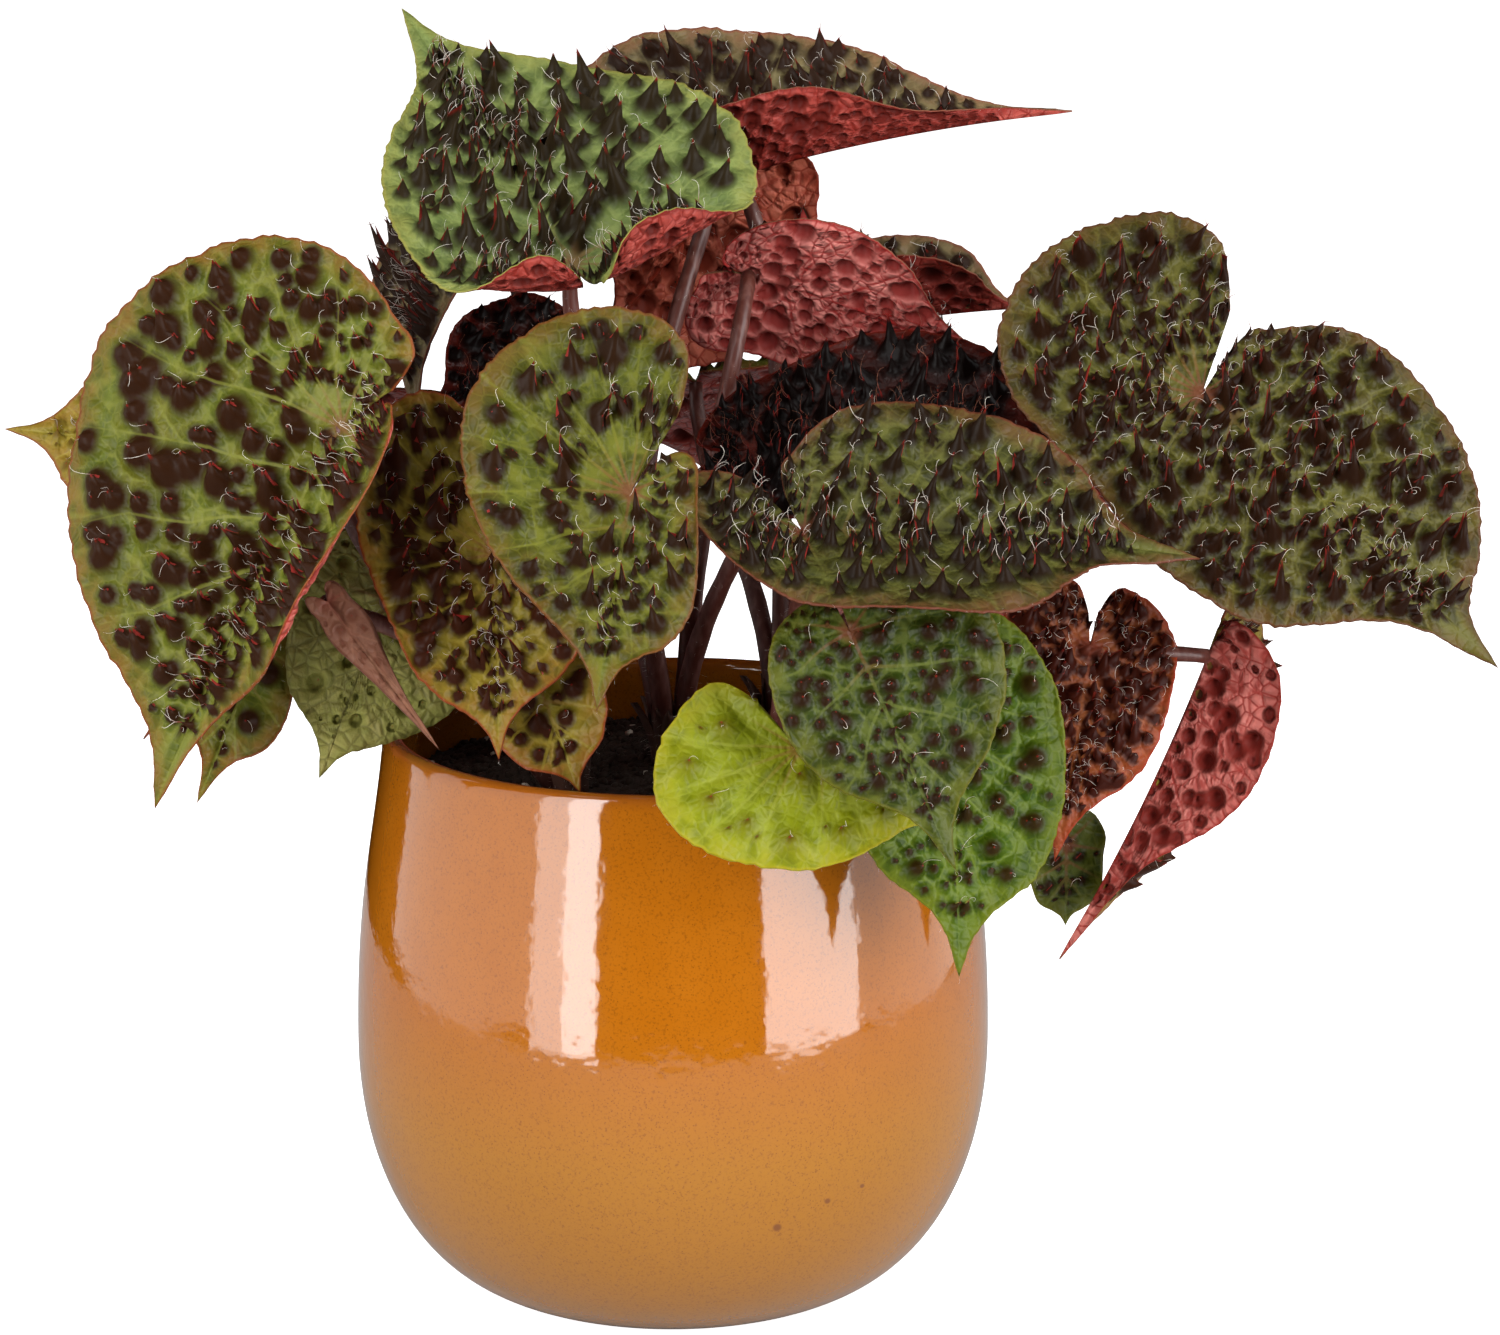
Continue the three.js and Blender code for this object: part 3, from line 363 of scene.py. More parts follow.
def crumb_tree(name, material, sizes, density, seed):
    """Scatters little rough lumps over the upward faces of a mesh."""
    numbers = {"Density": density, "Smallest": sizes[0], "Largest": sizes[1], "Seed": seed}
    tree, given = geometry_tree(name, numbers)
    normal = add_node(tree, "GeometryNodeInputNormal").outputs[0]
    height = add_node(tree, "ShaderNodeSeparateXYZ", {0: normal}).outputs["Z"]
    up = add_node(tree, "FunctionNodeCompare", {0: height, 1: 0.6}, operation="GREATER_THAN").outputs[0]
    lump = add_node(tree, "GeometryNodeMeshIcoSphere", {"Radius": 1.0, "Subdivisions": 1}).outputs["Mesh"]
    dents = add_node(tree, "ShaderNodeTexNoise", {"Scale": 1.3, "Detail": 2}).outputs["Color"]
    middle = {0: dents, 1: (-0.5, -0.5, -0.5)}
    push = add_node(tree, "ShaderNodeVectorMath", middle, operation="ADD").outputs[0]
    dented = add_node(tree, "GeometryNodeSetPosition", {"Geometry": lump, "Offset": push}).outputs[0]
    points = scattered(tree, given, up)["Points"]
    turn = random_vector(tree, given, (0, 0, 0), (6.28, 6.28, 6.28))
    size = random_number(tree, given, given["Smallest"], given["Largest"])
    plant_instances(tree, material, {"Points": points, "Instance": dented, "Rotation": turn, "Scale": size})
    return tree


soil_wall = [p for p in pot_wall(POT_WALL + SOIL_GAP, 24) if POT_FLOOR + 1 * MM < p[1] < SOIL_EDGE_HEIGHT]
soil_radius = soil_wall[-1][0]
soil_top = [
    (soil_radius * share, SOIL_EDGE_HEIGHT + (SOIL_CROWN_HEIGHT - SOIL_EDGE_HEIGHT) * (1 - share**2) - 1 * MM)
    for share in np.linspace(1, 0, 40)
]
soil = lathe("peat", [(0, POT_FLOOR + SOIL_GAP), *soil_wall, *soil_top], SOIL_SIDES)
places = np.array([v.co for v in soil.data.vertices])
lumpy = np.sin(places[:, 0] * 900) * np.cos(places[:, 1] * 760) + np.sin(places @ [430, 610, 0])
on_top = np.clip((places[:, 2] - SOIL_EDGE_HEIGHT + 1.5 * MM) / MM, 0, 1)
inside = np.hypot(places[:, 0], places[:, 1]) < soil_radius - 0.5 * MM
places[:, 2] += lumpy * on_top * inside * LUMP_HEIGHT
soil.data.vertices.foreach_set("co", places.ravel())
peat = peat_material()
soil.data.materials.append(peat)
crumbs_tree = crumb_tree("scatter_crumbs", peat, CRUMB_SIZES, CRUMBS_PER_M2, 3)
crumbs = plain_mesh("peat_crumbs", soil, crumbs_tree, {})
perlite_tree = crumb_tree("scatter_perlite", perlite_material(), PERLITE_SIZES, PERLITE_PER_M2, 8)
perlite = plain_mesh("perlite_grains", soil, perlite_tree, {})
for piece in (soil, crumbs, perlite):
    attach(piece, "root")
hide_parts("soil")

# Blades
# Thirty sheets of living tissue, each one thin lopsided heart. Between its veins the upper face bulges into
# dark cones, each hollow from below, and the underside is red with a raised net. They bend as they grow,
# so each is worked out as a flat leaf that is then folded, curled and arched into its place.
BLADE_THICKNESS = 0.8
EDGE_THICKNESS = 0.4
EDGE_WIDTH = 5
VALLEY_EDGE_WIDTH = 3
MARGIN_START = 0.93
TIP_MARGIN_START = 0.55
HUB_LINE = 0.6
VEIN_TURN_DEG = 80
MOST_FAN_VEINS = 9
NET_JITTER = 0.3
# Where the fold of a half begins and ends to flatten, in degrees from the tip, and by how much
FOLD_FADE_DEG = (95, 178)
FOLD_FADE_SHARE = 0.75
CONE_CELL_SHARE = 0.7
CONE_ROOM_SHARE = 0.5
CONE_RING_TAPER = 0.25
CONE_FOOT_SHARE = 0.35
SMALLEST_FOOT = 0.2
SMALL_CONE_SHARE = 0.6
CONE_WANDER = 0.16
# How far out from a cone its brown reaches on the upper face, and its painted shade round the hollow on the
# underside, as a share of its foot
CONE_STAIN_AND_SHADE_SHARE = 1.12
CONE_LEAN = 0.5
CONE_LEAN_SPREAD = 0.35
SPIKE_GAIN = 0.5
SPIKE_ROOM_SHARE = 0.6
SPIKE_SHARE = 0.55
SPIKE_RADIUS_SHARE = 0.42
PIT_SHARE = 0.9
VEIN_VALLEY_WIDTH = 1.0
PUFF_HEIGHT = 1.5
PUFF_WIDTH = 3.0
SERRATION_SHARE = 0.02
TEETH_PER_VEIN = 4.5
OUTLINE_STEPS = 120
MIDRIB_STEPS = 40
MIDRIB_PAST = 4
NORMAL_STEP = 0.4
MESH_STEP = 1.4
MARGIN_STEPS = 4
FLAT_UNIT = 100
# How finely a blade is divided: side veins that leave each half of the midrib, and rings of cones
DENSE = (6, 5)
LARGE = (5, 4)
MEDIUM = (4, 3)
SMALL = (3, 2)
TINY = (3, 1)

# Every blade in millimetres: where its petiole meets it (hub), its tip, the way its upper face looks, and
# its shape. left and right, as seen from above with the tip ahead, hold the angle from the tip round to the
# sinus and then four radii, as shares of the midrib, at even steps towards it. Pairs are left then right
# too: fold lifts a half and curl rolls it further, in degrees. bend arches the midrib, lobes droops its
# back within lobe_turn of its length, wave ripples the margin and bow pushes the petiole aside. cone is the
# tallest cone, dome makes the cones rounder, crowd puts more small ones between them, and upper and under
# name the colours of the two faces. What a leaf doesn't say is as in USUAL_LEAF.
USUAL_LEAF = dict(curl=(0, 0), lobes=0, lobe_turn=0.6, wave=1, bow=(0, 0, 0), crowd=0.5)
LEAVES = [
    dict(
        name="left_large", slot="leaf_olive", size=LARGE, shoot="front_left", seed=1,
        hub=(-72, -58, 219), tip=(-116, -55, 131), face=(-0.45, -0.87, 0.2),
        left=(145, 0.56, 0.38, 0.26, 0.17), right=(204, 0.77, 0.68, 0.48, 0.28),
        fold=(8, 4), curl=(85, -12), bend=14, lobes=6, cone=5.5, wave=1.2, bow=(-23, 0, -15),
        crowd=0.85, dome=0.7, upper="olive", under="coral",
    ),
    dict(
        name="far_left", slot="leaf_olive", size=SMALL, shoot="back_left", seed=2,
        hub=(-112, -12, 204), tip=(-154, -5, 208), face=(-0.1, -0.8, 0.6),
        left=(170, 0.66, 0.5, 0.45, 0.45), right=(176, 0.66, 0.5, 0.4, 0.4),
        fold=(8, 8), bend=10, lobes=10, cone=3, dome=0.6, upper="golden", under="coral",
    ),
    dict(
        name="top_left", slot="leaf_fresh", size=LARGE, shoot="centre", seed=3,
        hub=(-22, -25, 250), tip=(-63, 30, 301), face=(0.1, -0.65, 0.75),
        left=(165, 0.62, 0.5, 0.46, 0.42), right=(180, 0.68, 0.64, 0.48, 0.4),
        fold=(14, 8), curl=(10, 0), bend=0, lobes=-105, cone=7, wave=1.2, lobe_turn=0.3, bow=(0, -12, 0),
        crowd=0.7, dome=0.15, upper="fresh", under="crimson",
    ),
    dict(
        name="top_right", slot="leaf_dark", size=LARGE, shoot="centre", seed=4,
        hub=(10, 20, 262), tip=(93, 16, 279), face=(0, -0.1, 1),
        left=(186, 0.58, 0.48, 0.6, 0.68), right=(160, 0.45, 0.27, 0.26, 0.25),
        fold=(38, 62), curl=(10, 10), bend=12, lobes=5, cone=6, bow=(-20, -12, 0),
        crowd=1.0, dome=0.1, upper="thorny", under="crimson",
    ),
    dict(
        name="back_left_spiny", slot="leaf_dark", size=MEDIUM, shoot="back_left", seed=5,
        hub=(-50, 25, 255), tip=(-59, -4, 208), face=(-0.85, -0.5, 0.1),
        left=(174, 0.7, 0.6, 0.42, 0.32), right=(174, 0.65, 0.5, 0.45, 0.4),
        fold=(8, 8), bend=30, lobes=10, cone=6.5, crowd=1.0, dome=0.1, upper="thorny", under="crimson",
    ),
    dict(
        name="centre_light", slot="leaf_fresh", size=MEDIUM, shoot="front_left", seed=6,
        hub=(-8, -72, 207), tip=(-15, -97, 164), face=(0, -0.75, 0.65),
        left=(150, 0.72, 0.4, 0.3, 0.32), right=(202, 0.66, 0.7, 0.86, 0.84),
        fold=(6, 6), bend=0, lobes=-4, cone=5, wave=1.2, dome=0.3, upper="light", under="coral",
    ),
    dict(
        name="left_centre", slot="leaf_olive", size=MEDIUM, shoot="front_left", seed=7,
        hub=(-39, -44, 187), tip=(-38, -62, 144), face=(-0.1, -0.85, 0.5),
        left=(172, 0.69, 0.55, 0.5, 0.6), right=(176, 0.74, 0.6, 0.72, 0.9),
        fold=(10, 10), curl=(-10, 10), bend=0, cone=5.5, wave=1.2,
        crowd=0.85, dome=0.3, upper="maroon", under="coral",
    ),
    dict(
        name="centre_right", slot="leaf_dark", size=DENSE, shoot="front_right", seed=8,
        hub=(30, -67, 197), tip=(118, -62, 190), face=(0, -0.55, 0.83),
        left=(112, 0.74, 0.56, 0.4, 0.24), right=(236, 0.64, 0.37, 0.27, 0.32),
        fold=(12, 20), bend=14, lobes=-75, cone=5.5, wave=1.2,
        dome=0.35, upper="grey_green", under="coral",
    ),
    dict(
        name="right_large", slot="leaf_dark", size=DENSE, shoot="front_right", seed=9,
        hub=(121, -25, 220), tip=(188, -40, 160), face=(0.25, -0.85, 0.45),
        left=(99, 0.8, 0.65, 0.48, 0.27), right=(249, 0.6, 0.38, 0.53, 0.5),
        fold=(0, 0), bend=10, cone=6.5, wave=1.2,
        crowd=0.7, dome=0.2, upper="deep_green", under="crimson",
    ),
    dict(
        name="pink_centre", slot="leaf_green", size=MEDIUM, shoot="centre", seed=11,
        hub=(18, 8, 242), tip=(77, 4, 220), face=(0.1, 0.93, 0.35),
        left=(172, 0.55, 0.35, 0.36, 0.2), right=(172, 0.62, 0.36, 0.22, 0.14),
        fold=(0, -10), bend=20, cone=4, crowd=0.8, dome=0.5, upper="thorny", under="salmon",
    ),
    dict(
        name="rose_back", slot="leaf_green", size=SMALL, shoot="back_right", seed=12,
        hub=(15, 38, 258), tip=(-17, 32, 223), face=(0.1, 0.95, 0.2),
        left=(172, 0.7, 0.45, 0.4, 0.35), right=(172, 0.95, 0.7, 0.45, 0.4),
        fold=(5, 5), bend=10, cone=4, bow=(6, 12, 0), crowd=0.8, dome=0.5, upper="thorny", under="rose",
    ),
    dict(
        name="small_back", slot="leaf_green", size=SMALL, shoot="back_right", seed=13,
        hub=(40, 46, 222), tip=(84, 44, 228), face=(0, -0.15, 1),
        left=(172, 0.8, 0.55, 0.45, 0.35), right=(172, 0.8, 0.55, 0.5, 0.35),
        fold=(50, 60), bend=10, cone=5, crowd=1.0, dome=0.1, upper="thorny", under="crimson",
    ),
    dict(
        name="young_dark", slot="leaf_umber", size=MEDIUM, shoot="centre", seed=14,
        hub=(19, -24, 207), tip=(88, -26, 210), face=(0, -0.45, 0.9),
        left=(172, 0.88, 0.4, 0.28, 0.22), right=(172, 0.7, 0.42, 0.3, 0.22),
        fold=(10, 0), bend=20, cone=6, crowd=1.0, dome=0.1, upper="umber", under="crimson",
    ),
    dict(
        name="young_hairy", slot="leaf_umber", size=SMALL, shoot="centre", seed=15,
        hub=(-25, 3, 224), tip=(-57, -29, 215), face=(0, -0.75, 0.65),
        left=(172, 0.65, 0.42, 0.38, 0.3), right=(172, 0.66, 0.44, 0.4, 0.3),
        fold=(10, 10), bend=20, cone=3, crowd=1.0, dome=0.1, upper="umber", under="crimson",
    ),
    dict(
        name="lime", slot="leaf_lime", size=SMALL, shoot="front_right", seed=16,
        hub=(29, -84, 152), tip=(56, -89, 136), face=(0.1, -0.85, 0.5),
        left=(150, 0.8, 0.65, 0.5, 0.4), right=(198, 0.86, 0.88, 1.07, 0.85),
        fold=(0, 0), bend=0, cone=2, wave=0.8, crowd=0.1, dome=0.8, upper="lime", under="pale",
    ),
    dict(
        name="mid_green", slot="leaf_green", size=MEDIUM, shoot="front_right", seed=17,
        hub=(40, -90, 180), tip=(63, -104, 130), face=(0.1, -0.95, 0.3),
        left=(172, 0.7, 0.58, 0.4, 0.25), right=(176, 0.62, 0.42, 0.3, 0.25),
        fold=(0, 0), bend=6, lobes=45, cone=2.5, wave=0.8, lobe_turn=0.15,
        crowd=0.6, dome=0.8, upper="soft_green", under="pale",
    ),
    dict(
        name="bright_green", slot="leaf_green", size=MEDIUM, shoot="front_right", seed=18,
        hub=(62, -64, 157), tip=(65, -78, 98), face=(0.3, -0.9, 0.3),
        left=(172, 0.72, 0.5, 0.42, 0.4), right=(172, 0.66, 0.42, 0.35, 0.3),
        fold=(0, 0), bend=10, cone=3, wave=0.8, dome=0.8, upper="bright_green", under="pale",
    ),
    dict(
        name="orange_brown", slot="leaf_rust", size=MEDIUM, shoot="front_right", seed=19,
        hub=(96, -30, 162), tip=(88, -42, 115), face=(0.2, -0.95, 0.2),
        left=(172, 0.66, 0.45, 0.42, 0.35), right=(172, 0.66, 0.5, 0.42, 0.35),
        fold=(0, 0), bend=20, cone=4.5, crowd=1.0, dome=0.1, upper="rust", under="rose",
    ),
    dict(
        name="pink_right", slot="leaf_green", size=MEDIUM, shoot="front_right", seed=20,
        hub=(124, -22, 158), tip=(90, -34, 89), face=(0.9, 0.1, 0.1),
        left=(172, 0.75, 0.6, 0.42, 0.25), right=(172, 0.5, 0.3, 0.2, 0.15),
        fold=(32, 70), bend=10, cone=5, crowd=0.8, dome=0.5, upper="maroon", under="brick",
    ),
    dict(
        name="small_low_right", slot="leaf_olive", size=TINY, shoot="front_right", seed=21,
        hub=(92, -18, 112), tip=(92, -20, 93), face=(0.2, -0.95, 0.1),
        left=(172, 0.8, 0.5, 0.5, 0.5), right=(172, 0.8, 0.5, 0.5, 0.5),
        fold=(5, 5), bend=0, cone=1.5, wave=0.5, bow=(0, 0, 45),
        dome=0.7, upper="soft_green", under="pale",
    ),
    dict(
        name="pale_low_left", slot="leaf_green", size=SMALL, shoot="back_left", seed=22,
        hub=(-65, -24, 172), tip=(-81, -30, 131), face=(0.1, 0.95, 0.2),
        left=(172, 0.7, 0.5, 0.45, 0.4), right=(172, 0.75, 0.65, 0.5, 0.4),
        fold=(10, 10), bend=10, cone=2, wave=1.5, dome=0.8, upper="soft_green", under="pale",
    ),
    dict(
        name="narrow_low_left", slot="leaf_olive", size=TINY, shoot="back_left", seed=23,
        hub=(-95, -18, 159), tip=(-110, -22, 123), face=(0.1, -0.95, 0.2),
        left=(172, 0.6, 0.3, 0.25, 0.25), right=(172, 0.6, 0.3, 0.25, 0.25),
        fold=(15, 15), bend=10, cone=2, dome=0.7, upper="olive", under="pale",
    ),
    dict(
        name="small_pot", slot="leaf_olive", size=TINY, shoot="front_left", seed=24,
        hub=(-30, -44, 158), tip=(-20, -54, 134), face=(0, -0.95, 0.2),
        left=(172, 0.75, 0.55, 0.5, 0.5), right=(172, 0.75, 0.55, 0.5, 0.5),
        fold=(10, 10), bend=10, cone=2, dome=0.7, upper="maroon", under="coral",
    ),
    dict(
        name="strip_dried", slot="leaf_dry", size=TINY, shoot="front_left", seed=25,
        hub=(-77, -48, 177), tip=(-52, -50, 143), face=(0, -0.9, 0.4),
        left=(150, 0.3, 0.14, 0.12, 0.12), right=(150, 0.3, 0.14, 0.12, 0.12),
        fold=(20, 20), bend=10, cone=0.5, dome=0.9, upper="withered", under="withered",
    ),
    dict(
        name="behind_left", slot="leaf_dark", size=SMALL, shoot="back_left", seed=31,
        hub=(-52, 52, 196), tip=(-112, 100, 146), face=(-0.3, 0.5, 0.8),
        left=(172, 0.7, 0.55, 0.42, 0.35), right=(172, 0.75, 0.6, 0.5, 0.4),
        fold=(10, 10), bend=25, lobes=10, cone=6, dome=0.3, upper="deep_green", under="crimson",
    ),
    dict(
        name="behind_middle", slot="leaf_olive", size=SMALL, shoot="back_right", seed=32,
        hub=(5, 70, 205), tip=(10, 135, 165), face=(0, 0.5, 0.85),
        left=(172, 0.75, 0.55, 0.5, 0.4), right=(172, 0.7, 0.5, 0.42, 0.35),
        fold=(10, 10), bend=25, lobes=10, cone=6, dome=0.3, upper="olive", under="crimson",
    ),
    dict(
        name="behind_right", slot="leaf_green", size=SMALL, shoot="back_right", seed=33,
        hub=(76, 52, 190), tip=(124, 98, 158), face=(0.4, 0.5, 0.8),
        left=(172, 0.7, 0.55, 0.42, 0.35), right=(172, 0.75, 0.6, 0.45, 0.35),
        fold=(10, 10), bend=25, lobes=10, cone=5, dome=0.3, upper="grey_green", under="crimson",
    ),
    dict(
        name="behind_low_left", slot="leaf_green", size=SMALL, shoot="back_left", seed=34,
        hub=(-34, 68, 158), tip=(-62, 128, 105), face=(-0.2, 0.7, 0.7),
        left=(172, 0.7, 0.48, 0.4, 0.25), right=(172, 0.7, 0.42, 0.35, 0.25),
        fold=(8, 8), bend=25, lobes=10, cone=4, dome=0.6, upper="bright_green", under="coral",
    ),
    dict(
        name="behind_low_right", slot="leaf_fresh", size=SMALL, shoot="back_right", seed=35,
        hub=(44, 68, 157), tip=(74, 124, 102), face=(0.3, 0.7, 0.6),
        left=(172, 0.7, 0.45, 0.32, 0.25), right=(172, 0.7, 0.48, 0.36, 0.25),
        fold=(8, 8), bend=20, lobes=10, cone=4, bow=(0, 0, 12), dome=0.4, upper="light", under="coral",
    ),
    dict(
        name="behind_far_left", slot="leaf_olive", size=SMALL, shoot="back_left", seed=36,
        hub=(-84, 24, 160), tip=(-130, 50, 120), face=(-0.7, 0.3, 0.6),
        left=(172, 0.7, 0.5, 0.42, 0.35), right=(172, 0.7, 0.5, 0.42, 0.35),
        fold=(8, 8), bend=20, lobes=10, cone=4, dome=0.4, upper="olive", under="coral",
    ),
]
LEAVES = [USUAL_LEAF | leaf for leaf in LEAVES]

# Upper faces: the field between the cones, the cones, the margin, the clear tissue along the veins, and how
# far up a cone its brown begins
UPPER_COLOURS = {
    "olive": (0x566018, 0x2A1208, 0x7A3C1C, 0xB0A850, 0.1),
    "golden": (0x86781E, 0x5E4818, 0x7A4420, 0xC0B060, 0.4),
    "fresh": (0x65763E, 0x20150B, 0x84803C, 0xB8BC70, 0.08),
    "thorny": (0x6A603C, 0x26160F, 0x7A4634, 0xA89A70, 0.05),
    "light": (0x444A10, 0x241208, 0x643A18, 0xAAA840, 0.05),
    "maroon": (0x7A6E1E, 0x2E1008, 0x7E3418, 0xB0983C, 0.05),
    "grey_green": (0x3A3C14, 0x1C1008, 0x603020, 0xA0A050, 0.08),
    "deep_green": (0x38380C, 0x200E06, 0x54301A, 0x9C9444, 0.06),
    "umber": (0x140705, 0x0A0403, 0x581408, 0x4A180E, 0.05),
    "lime": (0x727C08, 0x4E3A0A, 0x8E8418, 0xB4B45C, 0.6),
    "soft_green": (0x263608, 0x241409, 0x545210, 0x9AA050, 0.25),
    "bright_green": (0x304A02, 0x2A1C06, 0x5E6410, 0xA4B03C, 0.25),
    "rust": (0x7C3C1C, 0x300E06, 0x8E3018, 0xC07840, 0.05),
    "withered": (0x8D5F4A, 0x6A4030, 0x6A4030, 0xA07A60, 0.3),
}
CONE_TIP_RED = 0x8A1E18
# Undersides: the field, the hollows' painted shade, the raised net, and how far into a hollow its painted
# shade begins
UNDER_COLOURS = {
    "coral": (0xDC7C70, 0x7C241E, 0x98281E, 0.1),
    "salmon": (0xE08A80, 0x7E2A26, 0x8A1C1A, 0.1),
    "brick": (0xBE6C62, 0x661E18, 0x7E2018, 0.1),
    "crimson": (0xB04A40, 0x561812, 0x701A12, 0.1),
    "rose": (0xD8745A, 0x702A1C, 0x8C3020, 0.1),
    "pale": (0x98984C, 0x7C7A3C, 0x6E6A34, 0.4),
    "withered": (0x8D5F4A, 0x6A4030, 0x6A4030, 0.3),
}
UNDER_BLUSH = 0xE8A89A
# The red-brown that the veins take on near the hub, and how far clear tissue and red change the field
HUB_RED = 0x7C3A30
LIGHT_SHARE = 0.12
VEIN_SHARE = 0.25
HUB_SHARE = 0.6
# How far the field round a cone turns towards its colour: on the upper face its brown with painted shade at
# its foot, on the underside painted shade round the hollow
HALO_SHARE = 0.5
WARM_SHARE = 0.22
# Painted shade: how far the field darkens in the hollows of its puckers
PAINTED_SHADE_SHARE = 0.45
# The skin of each face: the size of its net of veinlets in millimetres and how strongly it shows, how
# strongly the creases are coloured, and the roughness
UPPER_SKIN = dict(net_size=2.4, net_strength=0.25, creases=0.6, roughness=0.38)
UNDER_SKIN = dict(net_size=3.0, net_strength=0.85, creases=0.8, roughness=0.45)


def tinted(colour, towards, share):
    """A linear colour moved part of the way towards another."""
    return [c + (t - c) * share for c, t in zip(colour, towards)]


def scatter(a, b, c):
    """A repeatable scatter: the same whole numbers always give the same share between 0 and 1."""
    v = np.sin(a * 127.1 + b * 311.7 + c * 74.7) * 43758.5453
    return v - np.floor(v)


def smooth(v, start, end):
    """Rises from 0 at start to 1 at end with soft ends."""
    t = np.clip((v - start) / (end - start), 0, 1)
    return t * t * (3 - 2 * t)


def half_radius(q, radii):
    """The radius of half a blade's outline, as a share of the midrib, at a share q of the way from tip to
    sinus."""
    shoulder, body, waist, lobe = radii
    at = np.array([0, 0.02, 0.06, 0.15, 0.38, 0.62, 0.85, 0.95, 1])
    ends = [1, 0.53 + 0.47 * shoulder, 0.22 + 0.78 * shoulder]
    values = np.array([*ends, shoulder, body, waist, lobe, 0.85 * lobe, 0.5 * lobe])
    slopes = np.empty(9)
    slopes[1:-1] = (values[2:] - values[:-2]) / (at[2:] - at[:-2])
    slopes[0] = (values[1] - values[0]) / (at[1] - at[0])
    slopes[-1] = (values[-1] - values[-2]) / (at[-1] - at[-2])
    i = np.clip(np.searchsorted(at, q, side="left") - 1, 0, 7)
    span = at[i + 1] - at[i]
    t = (q - at[i]) / span
    a = (2 * t**3 - 3 * t**2 + 1) * values[i] + (t**3 - 2 * t**2 + t) * span * slopes[i]
    return a + (3 * t**2 - 2 * t**3) * values[i + 1] + (t**3 - t**2) * span * slopes[i + 1]


def unit(v):
    """The vector, or each row, at length 1."""
    return v / np.linalg.norm(v, axis=-1, keepdims=True)


def level(v, normal):
    """The part of each vector that lies in the surface with this normal."""
    return v - normal * (v * normal).sum(-1)[..., None]


